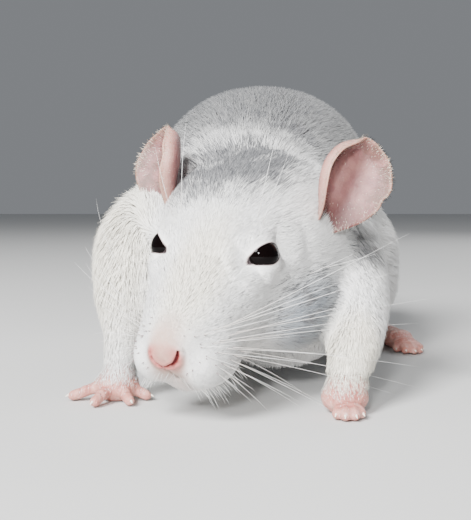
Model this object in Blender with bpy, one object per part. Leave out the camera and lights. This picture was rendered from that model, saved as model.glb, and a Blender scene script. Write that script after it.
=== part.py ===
"""A pet rat at life size, crouched with its head low and turned to its right.

Lengths are in millimetres until a mesh is made. x runs to the rat's left, y towards its
tail and z up, measured from the point of the floor below the tip of its nose. ORIGIN is
the middle of the whole rat's box, which becomes the part's origin.
"""
import math

import bmesh
import bpy
import numpy as np
from mathutils import Matrix, Vector
from mathutils.bvhtree import BVHTree

MM = 0.001
GAP = 0.3
FAR = 400.0
ORIGIN = (23.05, 151.55)

# Head: where it is, which way it points, and its size against the sections below.
NOSE_HEIGHT = 13.8
HEAD_YAW, HEAD_PITCH, HEAD_ROLL = (math.radians(a) for a in (-25.0, 26.0, 4.7))
HEAD_SCALE = 1.05
HEAD_END = 51.0

# Sections of the head in its own frame: distance behind the nose tip, half-width,
# top, bottom, and how far up the widest place lies.
HEAD_SECTIONS = [
    (0.0, 1.6, 1.4, -1.6, -0.1),
    (0.7, 3.0, 2.6, -2.9, -0.2),
    (2.4, 4.3, 4.0, -4.6, -0.6),
    (5.5, 6.8, 5.9, -7.8, -1.4),
    (10.0, 9.4, 8.0, -10.2, -1.6),
    (16.0, 11.2, 10.6, -12.4, -1.2),
    (22.0, 12.8, 13.2, -14.2, -1.6),
    (28.0, 15.2, 15.8, -15.8, -2.2),
    (34.0, 18.4, 18.0, -17.2, -2.0),
    (40.0, 21.0, 19.0, -18.2, -2.6),
    (46.0, 22.0, 19.0, -18.6, -2.4),
    (52.0, 21.6, 18.4, -18.2, -1.6),
    (58.0, 19.6, 17.0, -16.8, -0.8),
]
NAPE_START = 38.0
WHISKER_PAD = ((4.8, 11.0, -4.2), (5.8, 9.6, 6.8))
CHEEK = ((11.4, 37.0, -7.0), (10.4, 15.0, 11.2))
MUZZLE_RINGS = 18
CHIN = ((0.0, 12.0, -9.6), (5.4, 7.5, 4.0))
BROW = ((8.8, 26.6, 7.4), (5.1, 8.8, 6.0))
FULLNESS = 2.25

# Mouth and nostrils
MOUTH_WIDTH, MOUTH_FRONT, MOUTH_BACK, MOUTH_GROOVE = 7.6, 6.0, 15.0, 0.45
NOSTRIL_PLACE = (2.1, 0.9, -1.3)
NOSTRIL_RADII = (0.55, 1.3, 0.75)
NOSTRIL_TURN = math.radians(25.0)
CLEFT_TOP, CLEFT_BOTTOM = -2.6, -6.0

# Eyes
EYE_RADIUS = 3.75
EYE_PLACE = (9.85, 26.1, 8.05)
EYE_AXIS = (0.803, -0.374, 0.465)
LID_THICKNESS, LID_POINT = 0.7, 0.45
LID_OPENING = (3.75, 2.15)
EYE_SLANT = math.radians(16.4)

# Ears
EAR_ROOT = (19.2, 41.5, 8.6)
EAR_AXIS = (0.28, 0.61, 0.74)
EAR_FACING = (0.59, -0.67, 0.44)
EAR_LENGTH, EAR_WIDTH = 19.0, 16.8
EAR_THICKNESS, EAR_RIM = 0.8, 0.55
EAR_CUP, EAR_FUNNEL, EAR_SETBACK = 4.6, 1.1, 1.6
EAR_MIDDLE, EAR_ABOVE, EAR_BELOW, EAR_NARROWING = 0.52, 0.46, 0.66, 0.38
EAR_CURL, EAR_FOLD = 1.6, 1.4
EAR_SPOKES, EAR_RINGS = 24, 5

# Body: place along the rat, middle, top of the back, belly, half-width.
BODY_SECTIONS = [
    (38.0, 17.0, 53.0, 10.0, 18.0),
    (47.0, 17.0, 59.5, 8.0, 22.0),
    (62.0, 18.0, 66.5, 7.5, 26.0),
    (77.0, 20.0, 72.5, 7.5, 30.0),
    (92.0, 21.5, 77.0, 8.0, 33.5),
    (107.0, 23.0, 78.4, 8.0, 34.5),
    (122.0, 24.0, 75.0, 9.0, 31.5),
    (134.0, 25.0, 66.5, 12.0, 25.5),
    (142.0, 25.5, 55.0, 16.0, 17.5),
    (148.0, 25.8, 42.0, 21.0, 9.0),
]
BRISKET = ((24.0, 41.0, 16.0), (16.0, 14.0, 10.6))
WIDEST_AT = 0.42
NECK_END = 60.0
NECK_TILT = math.radians(14.0)
RUMP_END = 150.0

# Limbs, each a row of places with the half-thickness there, from the trunk to the paw.
FORELEG_L = [(31.0, 56, 40, 12.5), (37.5, 45, 32, 11.4), (40.0, 33, 22, 8.8),
             (39.4, 23.0, 14, 6.2), (37.6, 18.0, 8.5, 4.8), (36.8, 16.0, 4.5, 4.2)]
FORELEG_R = [(1.0, 56, 41, 11.8), (-7.6, 45, 34, 11.4), (-10.6, 36.5, 24, 8.2),
             (-11.0, 31.4, 15, 4.9), (-11.6, 29.6, 8.5, 4.0), (-12.0, 28.8, 4.5, 3.8)]
THIGH_L = [(45, 112, 38, 15.0), (47.6, 100, 29, 15.2), (48.6, 91, 21, 12.8)]
THIGH_R = [(1, 112, 38, 15.0), (-2.0, 101, 30, 15.0), (-3.0, 92, 22, 12.5)]
SHIN_L = [(48.0, 94, 21, 11.0), (53.0, 106, 13.5, 7.2), (57.5, 117, 9.0, 5.0), (58.6, 119, 5, 4.2)]
SHIN_R = [(-4.0, 96, 21, 11.0), (-9.0, 109, 13.5, 7.2), (-12.8, 122, 9.0, 5.0),
          (-13.4, 124, 5, 4.2)]

# Where the legs part from the trunk: an arch's inner and outer side, its front and back
# foot, and its top.
LEG_ARCHES = {
    "foreleg_L": (31.0, 80.0, -10.0, 66.0, 48.0),
    "foreleg_R": (2.0, -60.0, -10.0, 66.0, 48.0),
    "hindleg_L": (42.0, 90.0, 76.0, 132.0, 45.0),
    "hindleg_R": (2.0, -60.0, 77.0, 134.0, 45.0),
}
ARCH_RISE = 20.0
WRIST, ANKLE = 7.4, 8.6

# Paws: middle of the palm on the floor, then the turn and reach of each digit.
FOREPAWS = {
    "forepaw_L": ((36.6, 16.0), ((20, 6.6), (6, 7.6), (-9, 7.4), (-24, 6.2))),
    "forepaw_R": ((-12.2, 28.8), ((82, 9.6), (25, 8.8), (-28, 7.6), (-80, 6.8))),
}
PALM_RADII = (5.0, 4.7, 3.6)
DIGIT_THICKNESS = 1.35
# Along a digit, as shares of its reach, and the height there in half-thicknesses.
DIGIT_ARCH = ((0.25, 2.0), (0.55, 2.0), (0.8, 1.35), (1.0, 0.95))
DIGIT_ROOT, DIGIT_TAPER = 1.12, 0.22
HINDFEET = {
    "hindfoot_L": ((58.6, 121.0), (63.0, 99.5)),
    "hindfoot_R": ((-13.4, 126.0), (-15.8, 104.5)),
}
TOE_TURNS = ((-26, 8.0), (-12, 10.4), (0, 11.2), (12, 10.4), (27, 7.6))
HEEL_THICKNESS, SOLE_THICKNESS, BALL_THICKNESS, TOE_THICKNESS = 3.7, 3.2, 3.1, 1.45
BALL_WIDTH = 4.4
CLAW_LENGTH, CLAW_THICKNESS, CLAW_ROOT, CLAW_RISE, CLAW_DROP = 1.7, 0.4, 0.6, 0.35, 0.75

# Tail: where it leaves the rump, then places on the floor, with the half-thickness.
TAIL_ROOT = [(25.0, 136.0, 24.0, 6.8), (25.6, 146.0, 15.5, 5.7), (26.4, 157.0, 7.4, 4.9)]
TAIL_LYING = [(28.0, 171.0, 4.3), (31.0, 198.0, 3.7), (30.5, 226.0, 3.05), (23.5, 256.0, 2.35),
              (13.0, 282.0, 1.75), (5.0, 303.0, 1.25)]
TAIL_SIDES = 12
TAIL_CUTS = (RUMP_END, 200.0, 252.0)
FLAT = 0.25

# How fine the fused surfaces are, and how many triangles each is brought down to.
SKULL_VOXEL, MUZZLE_VOXEL, BODY_VOXEL, PAW_VOXEL = 0.7, 0.55, 1.0, 0.4
HEAD_TRIANGLES, BODY_TRIANGLES, PAW_TRIANGLES = 2400, 3700, 560

COLOURS = {
    "coat": ((0.82, 0.81, 0.78), 0.9),
    "saddle": ((0.62, 0.63, 0.62), 0.9),
    "skin": ((0.80, 0.50, 0.46), 0.55),
    "eye": ((0.01, 0.008, 0.008), 0.05),
}


def clear_scene():
    for obj in list(bpy.data.objects):
        bpy.data.objects.remove(obj)


def smooth_rows(rows, steps):
    """Rows along the Catmull-Rom curve through the given ones."""
    rows = np.asarray(rows, float)
    ends = np.vstack([2 * rows[0] - rows[1], rows, 2 * rows[-1] - rows[-2]])
    out = []
    for i in range(len(rows) - 1):
        a, b, c, d = ends[i:i + 4]
        bend, twist = 2 * a - 5 * b + 4 * c - d, 3 * b - 3 * c + d - a
        for t in np.arange(steps) / steps:
            out.append(b + 0.5 * t * (c - a + t * (bend + t * twist)))
    out.append(rows[-1])
    return np.array(out)


def make_object(name, points, faces):
    mesh = bpy.data.meshes.new(name)
    mesh.from_pydata([Vector(p) * MM for p in points], [], faces)
    obj = bpy.data.objects.new(name, mesh)
    bpy.context.scene.collection.objects.link(obj)
    return obj


def loft(name, rings):
    """A closed skin over a row of rings with flat ends."""
    n = len(rings[0])
    points = [p for ring in rings for p in ring]
    faces = [[i * n + j, i * n + (j + 1) % n, (i + 1) * n + (j + 1) % n, (i + 1) * n + j]
             for i in range(len(rings) - 1) for j in range(n)]
    last = (len(rings) - 1) * n
    faces.append(list(range(n))[::-1])
    faces.append([last + j for j in range(n)])
    obj = make_object(name, points, faces)
    return face_outwards(obj)


def face_outwards(obj):
    bm = bmesh.new()
    bm.from_mesh(obj.data)
    bmesh.ops.recalc_face_normals(bm, faces=bm.faces)
    bm.to_mesh(obj.data)
    bm.free()
    return obj


def oval(half_width, top, bottom, middle, sides=32):
    """Points of a rather full oval section whose widest place is at the height middle."""
    turns = np.arange(sides) * 2 * math.pi / sides
    across, up = (np.sign(v) * np.abs(v) ** (2 / FULLNESS) for v in (np.cos(turns), np.sin(turns)))
    heights = np.where(up > 0, top - middle, middle - bottom)
    return np.column_stack([half_width * across, middle + heights * up])


def tube(name, rows, sides=16, steps=5):
    """A round-ended tube through rows of place and half-thickness."""
    rows = smooth_rows(rows, steps)
    path, radii = rows[:, :3], rows[:, 3]
    along = np.gradient(path, axis=0)
    along /= np.linalg.norm(along, axis=1)[:, None]
    caps = np.radians([75, 50, 25])
    start = [(path[0] - along[0] * radii[0] * math.sin(a), along[0], radii[0] * math.cos(a))
             for a in caps]
    end = [(path[-1] + along[-1] * radii[-1] * math.sin(a), along[-1], radii[-1] * math.cos(a))
           for a in caps[::-1]]
    across = Vector(along[0]).orthogonal()
    turns = np.arange(sides) * 2 * math.pi / sides
    rings = []
    for centre, direction, radius in start + list(zip(path, along, radii)) + end:
        direction = Vector(direction)
        across = (across - across.dot(direction) * direction).normalized()
        side = direction.cross(across)
        rings.append([Vector(centre) + float(radius) * (math.cos(a) * across + math.sin(a) * side)
                      for a in turns])
    return loft(name, rings)


def ellipsoid(name, centre, radii, frame=Matrix.Identity(4), detail=4):
    bm = bmesh.new()
    bmesh.ops.create_icosphere(bm, subdivisions=detail, radius=1.0)
    place = frame @ Matrix.Translation(centre) @ Matrix.Diagonal((*radii, 1.0))
    bmesh.ops.transform(bm, matrix=Matrix.Scale(MM, 4) @ place, verts=bm.verts)
    mesh = bpy.data.meshes.new(name)
    bm.to_mesh(mesh)
    bm.free()
    obj = bpy.data.objects.new(name, mesh)
    bpy.context.scene.collection.objects.link(obj)
    return obj


def block(name, low, high, frame=Matrix.Identity(4)):
    corners = [frame @ Vector((x, y, z)) for x in (low[0], high[0]) for y in (low[1], high[1])
               for z in (low[2], high[2])]
    faces = [(0, 1, 3, 2), (4, 6, 7, 5), (0, 4, 5, 1), (2, 3, 7, 6), (0, 2, 6, 4), (1, 5, 7, 3)]
    return face_outwards(make_object(name, corners, faces))


def arch(name, inner, outer, front, back, top, low, grow=0.0):
    """A block across the body with a rounded top, to part a leg from the trunk."""
    middle, half = (front + back) / 2, (back - front) / 2 + grow
    spring = top - ARCH_RISE
    profile = [(middle - half, low), (middle + half, low)]
    for turn in np.linspace(0.0, math.pi, 15):
        profile.append((middle + half * math.cos(turn), spring + (ARCH_RISE + grow) * math.sin(turn)))
    inner -= math.copysign(grow, outer - inner)
    return loft(name, [[(x, y, z) for y, z in profile] for x in (inner, outer)])


def bake(obj):
    """Keep what the modifiers give and drop the modifiers."""
    bpy.context.view_layer.update()
    evaluated = obj.evaluated_get(bpy.context.evaluated_depsgraph_get())
    mesh = bpy.data.meshes.new_from_object(evaluated)
    obj.modifiers.clear()
    obj.data = mesh
    return obj


def join(name, pieces):
    """All the pieces' faces in one object, still overlapping."""
    bm = bmesh.new()
    for piece in pieces:
        bm.from_mesh(piece.data)
        bpy.data.objects.remove(piece)
    mesh = bpy.data.meshes.new(name)
    bm.to_mesh(mesh)
    bm.free()
    obj = bpy.data.objects.new(name, mesh)
    bpy.context.scene.collection.objects.link(obj)
    return obj


def blend(obj, voxel, rounds):
    """Fuse overlapping forms into one surface and soften where they meet."""
    remesh = obj.modifiers.new("Fuse", "REMESH")
    remesh.mode = "VOXEL"
    remesh.voxel_size = voxel * MM
    soften = obj.modifiers.new("Soften", "SMOOTH")
    soften.factor = 0.5
    soften.iterations = rounds
    return bake(obj)


def thin_out(obj, triangles):
    """Bring the mesh down to about this many triangles."""
    obj.data.calc_loop_triangles()
    reduce = obj.modifiers.new("Reduce", "DECIMATE")
    reduce.ratio = min(1.0, triangles / len(obj.data.loop_triangles))
    reduce.use_collapse_triangulate = True
    return bake(obj)


def boolean(obj, cutter, operation):
    change = obj.modifiers.new("Cut", "BOOLEAN")
    change.operation = operation
    change.solver = "EXACT"
    change.object = cutter
    bake(obj)
    bpy.data.objects.remove(cutter)
    return keep_largest(obj)


def keep_largest(obj):
    """Keep the largest closed surface and drop loose scraps."""
    bm = bmesh.new()
    bm.from_mesh(obj.data)
    bmesh.ops.triangulate(bm, faces=bm.faces)
    left = set(bm.verts)
    islands = []
    while left:
        grow = [left.pop()]
        island = set(grow)
        while grow:
            for edge in grow.pop().link_edges:
                for vert in edge.verts:
                    if vert in left:
                        left.discard(vert)
                        island.add(vert)
                        grow.append(vert)
        islands.append(island)
    islands.sort(key=len)
    for island in islands[:-1]:
        bmesh.ops.delete(bm, geom=list(island), context="VERTS")
    bm.to_mesh(obj.data)
    bm.free()
    return obj


def copy_of(obj, name, swell=0.0):
    """A copy whose surface lies further out by swell."""
    twin = bpy.data.objects.new(name, obj.data.copy())
    bpy.context.scene.collection.objects.link(twin)
    if swell:
        normals = [v.normal.copy() for v in twin.data.vertices]
        for vert, normal in zip(twin.data.vertices, normals):
            vert.co += normal * swell * MM
    return twin


def rename(obj, name):
    obj.name = name
    obj.data.name = name
    return obj


def head_frame():
    turn = (Matrix.Rotation(HEAD_YAW, 4, "Z") @ Matrix.Rotation(HEAD_PITCH, 4, "X")
            @ Matrix.Rotation(HEAD_ROLL, 4, "Y"))
    return Matrix.Translation((0, 0, NOSE_HEIGHT)) @ turn @ Matrix.Scale(HEAD_SCALE, 4)


def mirrored(place, side):
    return Vector((side * place[0], place[1], place[2]))


def head_form():
    frame = head_frame()
    rings = []
    for y, half_width, top, bottom, middle in smooth_rows(HEAD_SECTIONS, 4):
        rings.append([frame @ Vector((x, y, z)) for x, z in oval(half_width, top, bottom, middle)])
    skull = [loft("head_core", rings)]
    muzzle = [loft("muzzle", rings[:MUZZLE_RINGS]), ellipsoid("chin", *CHIN, frame)]
    for side in (-1, 1):
        skull += [ellipsoid("cheek", mirrored(CHEEK[0], side), CHEEK[1], frame),
                  ellipsoid("brow", mirrored(BROW[0], side), BROW[1], frame)]
        muzzle.append(ellipsoid("pad", mirrored(WHISKER_PAD[0], side), WHISKER_PAD[1], frame))
    skull = blend(join("skull", skull), SKULL_VOXEL, 50)
    return blend(join("head", [skull] + muzzle), MUZZLE_VOXEL, 14)


def eye_frame(side):
    """The eye's own frame: z looks out of the socket, x runs along the lids."""
    axis = mirrored(EYE_AXIS, side).normalized()
    forward = Vector((0, -1, 0))
    along = (forward - forward.dot(axis) * axis).normalized()
    up = axis.cross(along)
    turn = Matrix((along, up, axis)).transposed().to_4x4()
    slant = Matrix.Rotation(side * -EYE_SLANT, 4, "Z")
    return head_frame() @ Matrix.Translation(mirrored(EYE_PLACE, side)) @ turn @ slant


def lid_opening(frame):
    """A pointed oval that runs out from the eyeball, to cut the slit between the lids."""
    half_length, half_height = LID_OPENING
    rings = []
    for depth in (0.0, 3 * EYE_RADIUS):
        ring = []
        for turn in np.arange(24) * 2 * math.pi / 24:
            narrow = 1.0 - LID_POINT * max(0.0, math.cos(turn)) ** 2
            point = (half_length * math.cos(turn), half_height * math.sin(turn) * narrow, depth)
            ring.append(frame @ Vector(point))
        rings.append(ring)
    return loft("lid_opening", rings)


def make_eyes(head):
    """Cut each socket with its lids round it, and set the eyeball inside."""
    eyes = []
    socket = EYE_RADIUS + GAP
    for side, name in ((1, "eye_L"), (-1, "eye_R")):
        frame = eye_frame(side)
        lids = ellipsoid("lids", (0, 0, 0), [socket + LID_THICKNESS] * 3, frame, 3)
        boolean(head, lids, "UNION")
        boolean(head, lid_opening(frame), "DIFFERENCE")
        boolean(head, ellipsoid("socket", (0, 0, 0), [socket] * 3, frame, 3), "DIFFERENCE")
        eye = ellipsoid(name, (0, 0, 0), [EYE_RADIUS] * 3, frame, 3)
        eyes.append(rename(eye, name))
    return eyes


def on_surface(tree, frame, place, way):
    """Where a line from a place in the head's frame meets the head."""
    start = frame @ Vector(place) * MM
    hit = tree.ray_cast(start, (frame.to_3x3() @ Vector(way)).normalized())[0]
    return hit / MM


def surface_tree(obj):
    bm = bmesh.new()
    bm.from_mesh(obj.data)
    tree = BVHTree.FromBMesh(bm)
    bm.free()
    return tree


def cut_mouth_and_nostrils(head):
    frame = head_frame()
    tree = surface_tree(head)
    line = []
    for step in np.linspace(-1, 1, 15):
        place = (MOUTH_WIDTH * step, MOUTH_FRONT + (MOUTH_BACK - MOUTH_FRONT) * step ** 2, 0.0)
        hit = on_surface(tree, frame, place, (0.45 * step, 0.0, -1.0))
        line.append((*hit, MOUTH_GROOVE))
    boolean(head, tube("mouth_line", line, 8, 2), "DIFFERENCE")
    cleft = []
    for height in np.linspace(CLEFT_TOP, CLEFT_BOTTOM, 5):
        hit = on_surface(tree, frame, (0.0, 12.0, height), (0.0, -1.0, -0.25))
        cleft.append((*hit, MOUTH_GROOVE))
    boolean(head, tube("cleft", cleft, 8, 2), "DIFFERENCE")
    for side in (-1, 1):
        turn = Matrix.Rotation(side * NOSTRIL_TURN, 4, "Z")
        pit = frame @ Matrix.Translation(mirrored(NOSTRIL_PLACE, side)) @ turn
        boolean(head, ellipsoid("nostril", (0, 0, 0), NOSTRIL_RADII, pit, 2), "DIFFERENCE")


def ear_frame(side):
    """The ear's own frame: y runs up the ear, z faces the way it opens, x across."""
    up = mirrored(EAR_AXIS, side).normalized()
    facing = mirrored(EAR_FACING, side)
    facing = (facing - facing.dot(up) * up).normalized()
    across = up.cross(facing)
    turn = Matrix((across, up, facing)).transposed().to_4x4()
    return head_frame() @ Matrix.Translation(mirrored(EAR_ROOT, side)) @ turn


def ear_point(radius, turn, side):
    """A place on the ear's middle surface, from its centre (0) to its rim (1)."""
    half, up = EAR_WIDTH / 2, math.sin(turn)
    x = radius * half * math.cos(turn) * (1.0 - EAR_NARROWING * max(0.0, -up) ** 2)
    y = EAR_LENGTH * (EAR_MIDDLE + radius * up * (EAR_ABOVE if up > 0 else EAR_BELOW))
    lift = EAR_CUP * (x / half) ** 2 * (1.0 + EAR_FUNNEL * max(0.0, 0.5 - y / EAR_LENGTH))
    curl = EAR_CURL * max(0.0, radius - 0.7) / 0.3 * max(0.0, up) ** 2
    fold = EAR_FOLD * max(0.0, -side * math.cos(turn)) * max(0.0, radius - 0.6) / 0.4
    return Vector((x, y, lift + curl + fold - EAR_SETBACK))


def ear_normal(radius, turn, side):
    step = 0.02
    out = ear_point(radius + step, turn, side) - ear_point(radius - step, turn, side)
    along_rim = ear_point(radius, turn + step, side) - ear_point(radius, turn - step, side)
    return out.cross(along_rim).normalized()


def ear_faces():
    """Triangles of the inner face, the outer face and the rim that joins them."""
    def index(face, ring, spoke):
        base = 0 if face == 1 else 1 + EAR_RINGS * EAR_SPOKES
        return base if ring == 0 else base + 1 + (ring - 1) * EAR_SPOKES + spoke % EAR_SPOKES

    faces = []
    for s in range(EAR_SPOKES):
        for face in (1, -1):
            corners = [((0, s), (1, s), (1, s + 1))]
            for r in range(1, EAR_RINGS):
                corners += [((r, s), (r + 1, s), (r + 1, s + 1)), ((r, s), (r + 1, s + 1), (r, s + 1))]
            faces += [[index(face, *c) for c in corner][::face] for corner in corners]
        a, b = index(1, EAR_RINGS, s), index(1, EAR_RINGS, s + 1)
        c, d = index(-1, EAR_RINGS, s), index(-1, EAR_RINGS, s + 1)
        faces += [[a, c, d], [a, d, b]]
    return faces


def make_ear(name, side, solids):
    """A thin cup with the same triangles on both faces, trimmed clear of the solids by it."""
    frame = ear_frame(side)
    points = []
    for face in (1, -1):
        points.append(frame @ (ear_point(0, 0, side) + Vector((0, 0, face * EAR_THICKNESS / 2))))
        for ring in range(1, EAR_RINGS + 1):
            half = EAR_THICKNESS / 2 * (EAR_RIM if ring == EAR_RINGS else 1.0)
            for spoke in range(EAR_SPOKES):
                place = ring / EAR_RINGS, 2 * math.pi * spoke / EAR_SPOKES, side
                points.append(frame @ (ear_point(*place) + face * half * ear_normal(*place)))
    ear = face_outwards(make_object(name, points, ear_faces()))
    for solid in solids:
        boolean(ear, copy_of(solid, "ear_clear", GAP), "DIFFERENCE")
    return rename(ear, name)


def claw(name, tip, turn):
    """A small curved cone that grows from the end of a digit."""
    ahead = Vector((-math.sin(turn), -math.cos(turn), 0.0))
    rows = []
    for t in (0.0, 0.35, 0.7, 1.0):
        height = Vector((0, 0, CLAW_RISE - CLAW_DROP * t * t))
        centre = Vector(tip) + ahead * (CLAW_LENGTH * t - CLAW_ROOT) + height
        rows.append((*centre, CLAW_THICKNESS * (1.0 - 0.8 * t)))
    return tube(name, rows, 6, 1)


def digit(name, root, turn, reach, thickness):
    """A digit from the palm over its knuckle down to the pad at its tip."""
    ahead = Vector((-math.sin(turn), -math.cos(turn), 0.0))
    root = Vector((*root, 0.0))
    rows = []
    for share, height in DIGIT_ARCH:
        centre = root + ahead * reach * share + Vector((0, 0, thickness * height))
        rows.append((*centre, thickness * (DIGIT_ROOT - DIGIT_TAPER * share)))
    return tube(name, rows, 12, 4), rows[-1][:3]


def make_paw(name, palm, digits, thickness, extra, top):
    """Palm, digits and claws in one, flat where they stand, up to the wrist or ankle."""
    forms, claws = list(extra), []
    for number, (turn, reach) in enumerate(digits):
        turn = math.radians(turn)
        form, tip = digit("digit", palm, turn, reach, thickness)
        forms.append(form)
        claws.append(claw(f"claw_{number}", tip, turn))
    paw = blend(join(name, forms), PAW_VOXEL, 3)
    thin_out(paw, PAW_TRIANGLES)
    for piece in claws:
        boolean(paw, piece, "UNION")
    boolean(paw, block("floor", (-FAR, -FAR, -FAR), (FAR, FAR, 0.0)), "DIFFERENCE")
    boolean(paw, block("limb", (-FAR, -FAR, top - GAP / 2), (FAR, FAR, FAR)), "DIFFERENCE")
    return rename(paw, name)


def make_paws():
    paws = []
    for name, (palm, digits) in FOREPAWS.items():
        rows = FORELEG_L if name.endswith("L") else FORELEG_R
        stub = tube("wrist", rows[-3:])
        pad = ellipsoid("palm", (*palm, PALM_RADII[2] - FLAT), PALM_RADII)
        paws.append(make_paw(name, palm, digits, DIGIT_THICKNESS, [stub, pad], WRIST))
    for name, (heel, ball) in HINDFEET.items():
        rows = SHIN_L if name.endswith("L") else SHIN_R
        stub = tube("ankle", rows[-3:])
        middle = (Vector(heel) + Vector(ball)) / 2
        sole = tube("sole", [(*heel, HEEL_THICKNESS - FLAT, HEEL_THICKNESS),
                             (*middle, SOLE_THICKNESS - FLAT, SOLE_THICKNESS),
                             (*ball, BALL_THICKNESS - FLAT, BALL_THICKNESS)])
        ball_pad = ellipsoid("ball", (*ball, BALL_THICKNESS - FLAT),
                             (BALL_WIDTH, BALL_WIDTH, BALL_THICKNESS))
        way = Vector(ball) - Vector(heel)
        turn = math.degrees(math.atan2(-way.x, -way.y))
        toes = [(turn + spread, reach) for spread, reach in TOE_TURNS]
        paws.append(make_paw(name, ball, toes, TOE_THICKNESS, [stub, sole, ball_pad], ANKLE))
    return paws


def tail_rows():
    lying = [(x, y, r - FLAT, r) for x, y, r in TAIL_LYING]
    return TAIL_ROOT + lying


def make_tail():
    """The tail in three lengths, lying on the floor behind the rump."""
    whole = tube("tail", tail_rows(), TAIL_SIDES, 4)
    boolean(whole, block("floor", (-FAR, -FAR, -FAR), (FAR, FAR, 0.0)), "DIFFERENCE")
    ends = (*TAIL_CUTS, FAR)
    pieces = []
    for number in range(3):
        low, high = ends[number] + GAP / 2, ends[number + 1] - GAP / 2
        piece = copy_of(whole, "tail_piece")
        boolean(piece, block("length", (-FAR, low, -FAR), (FAR, high, FAR)), "INTERSECT")
        pieces.append(rename(piece, f"tail_{number + 1}"))
    bpy.data.objects.remove(whole)
    return pieces


def body_form():
    """Trunk, neck and legs in one surface, down to the wrists and ankles."""
    frame = head_frame()
    rings = []
    for y, middle, top, bottom, half_width in smooth_rows(BODY_SECTIONS, 4):
        height = bottom + WIDEST_AT * (top - bottom)
        rings.append([(middle + x, y, z) for x, z in oval(half_width, top, bottom, height, 40)])
    nape = [[frame @ Vector((x, y, z)) for x, z in oval(w, top, bottom, middle)]
            for y, w, top, bottom, middle in smooth_rows(HEAD_SECTIONS, 4) if y > NAPE_START]
    forms = [loft("trunk", rings), loft("nape", nape), ellipsoid("brisket", *BRISKET),
             tube("tail_root", tail_rows()[:4])]
    for rows in (FORELEG_L, FORELEG_R, THIGH_L, THIGH_R, SHIN_L, SHIN_R):
        forms.append(tube("limb", rows))
    return thin_out(blend(join("body", forms), BODY_VOXEL, 8), BODY_TRIANGLES)


def part_legs(body):
    """Take each leg off the body with thin cuts."""
    legs = []
    for name, shape in LEG_ARCHES.items():
        bottom = (WRIST if name.startswith("fore") else ANKLE) + GAP / 2
        leg = copy_of(body, "leg")
        boolean(leg, arch("leg_arch", *shape, bottom), "INTERSECT")
        legs.append(rename(leg, name))
    for shape in LEG_ARCHES.values():
        boolean(body, arch("leg_clear", *shape, -FAR, GAP), "DIFFERENCE")
    return legs


def part_trunk(body):
    """Divide what is left of the body into neck and torso."""
    tilt = Matrix.Translation((0, NECK_END, 36.0)) @ Matrix.Rotation(NECK_TILT, 4, "X")
    neck = copy_of(body, "neck")
    boolean(neck, block("ahead", (-FAR, -FAR, -FAR), (FAR, -GAP / 2, FAR), tilt), "INTERSECT")
    boolean(body, block("behind", (-FAR, GAP / 2, -FAR), (FAR, FAR, FAR), tilt), "INTERSECT")
    boolean(body, block("tail_side", (-FAR, RUMP_END - GAP / 2, -FAR), (FAR, FAR, FAR)), "DIFFERENCE")
    return [rename(neck, "neck"), rename(body, "torso")]


def finish(nodes):
    """Move each node to the part's origin and give it its material."""
    for node in nodes:
        kind = "skin"
        if node.name.startswith(("head", "neck", "foreleg", "hindleg")):
            kind = "coat"
        elif node.name.startswith("torso"):
            kind = "saddle"
        elif node.name.startswith("eye"):
            kind = "eye"
        colour, roughness = COLOURS[kind]
        material = bpy.data.materials.new(node.name)
        material.use_nodes = True
        shader = material.node_tree.nodes["Principled BSDF"]
        shader.inputs["Base Color"].default_value = (*colour, 1.0)
        shader.inputs["Roughness"].default_value = roughness
        shader.inputs["Metallic"].default_value = 0.0
        node.data.materials.clear()
        node.data.materials.append(material)
        node.data.transform(Matrix.Translation((-ORIGIN[0] * MM, -ORIGIN[1] * MM, 0.0)))
        node.data.shade_smooth()


def main():
    clear_scene()
    head = head_form()
    frame = head_frame()
    thin_out(head, HEAD_TRIANGLES)
    boolean(head, block("nape_side", (-FAR, HEAD_END, -FAR), (FAR, FAR, FAR), frame), "DIFFERENCE")
    body = body_form()
    boolean(body, copy_of(head, "head_clear", GAP), "DIFFERENCE")
    plain_head = copy_of(head, "plain_head")
    eyes = make_eyes(head)
    cut_mouth_and_nostrils(head)
    legs = part_legs(body)
    trunk = part_trunk(body)
    ears = [make_ear(name, side, [plain_head, trunk[0], *legs[:2]])
            for name, side in (("ear_L", 1), ("ear_R", -1))]
    bpy.data.objects.remove(plain_head)
    finish([rename(head, "head")] + eyes + ears + trunk + legs + make_paws() + make_tail())


main()
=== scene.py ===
import math

import bmesh
import bpy
import numpy as np
from mathutils import Matrix, Vector
from mathutils.bvhtree import BVHTree
from mathutils.kdtree import KDTree


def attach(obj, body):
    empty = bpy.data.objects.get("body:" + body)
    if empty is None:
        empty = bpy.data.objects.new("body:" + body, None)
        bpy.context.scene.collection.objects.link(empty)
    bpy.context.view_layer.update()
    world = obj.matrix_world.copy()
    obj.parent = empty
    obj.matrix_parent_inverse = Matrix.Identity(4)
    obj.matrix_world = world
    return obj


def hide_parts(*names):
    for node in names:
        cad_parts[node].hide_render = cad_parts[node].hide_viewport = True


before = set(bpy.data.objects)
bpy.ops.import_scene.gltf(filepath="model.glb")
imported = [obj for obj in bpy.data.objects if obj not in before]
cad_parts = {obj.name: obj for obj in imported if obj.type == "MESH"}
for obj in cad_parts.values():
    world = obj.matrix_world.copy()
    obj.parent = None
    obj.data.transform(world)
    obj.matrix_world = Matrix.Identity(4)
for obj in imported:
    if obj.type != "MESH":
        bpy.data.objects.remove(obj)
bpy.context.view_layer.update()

# The studio: a plain pale floor under the paws, and a camera that stands low in front of
# the rat, at the photograph's distance and tilt.
MM = 0.001
CAMERA_PLACE = (-9.05 * MM, -319.55 * MM, 43.0 * MM)
CAMERA_DIP = math.atan(55 / 900)
FRAME_HEIGHT, FOCAL_PIXELS = 520, 900
SENSOR_HEIGHT = 36.0

bpy.ops.object.select_all(action="DESELECT")
bpy.ops.mesh.primitive_plane_add(size=8.0)
floor = bpy.context.active_object
floor.name = "floor"

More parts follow.
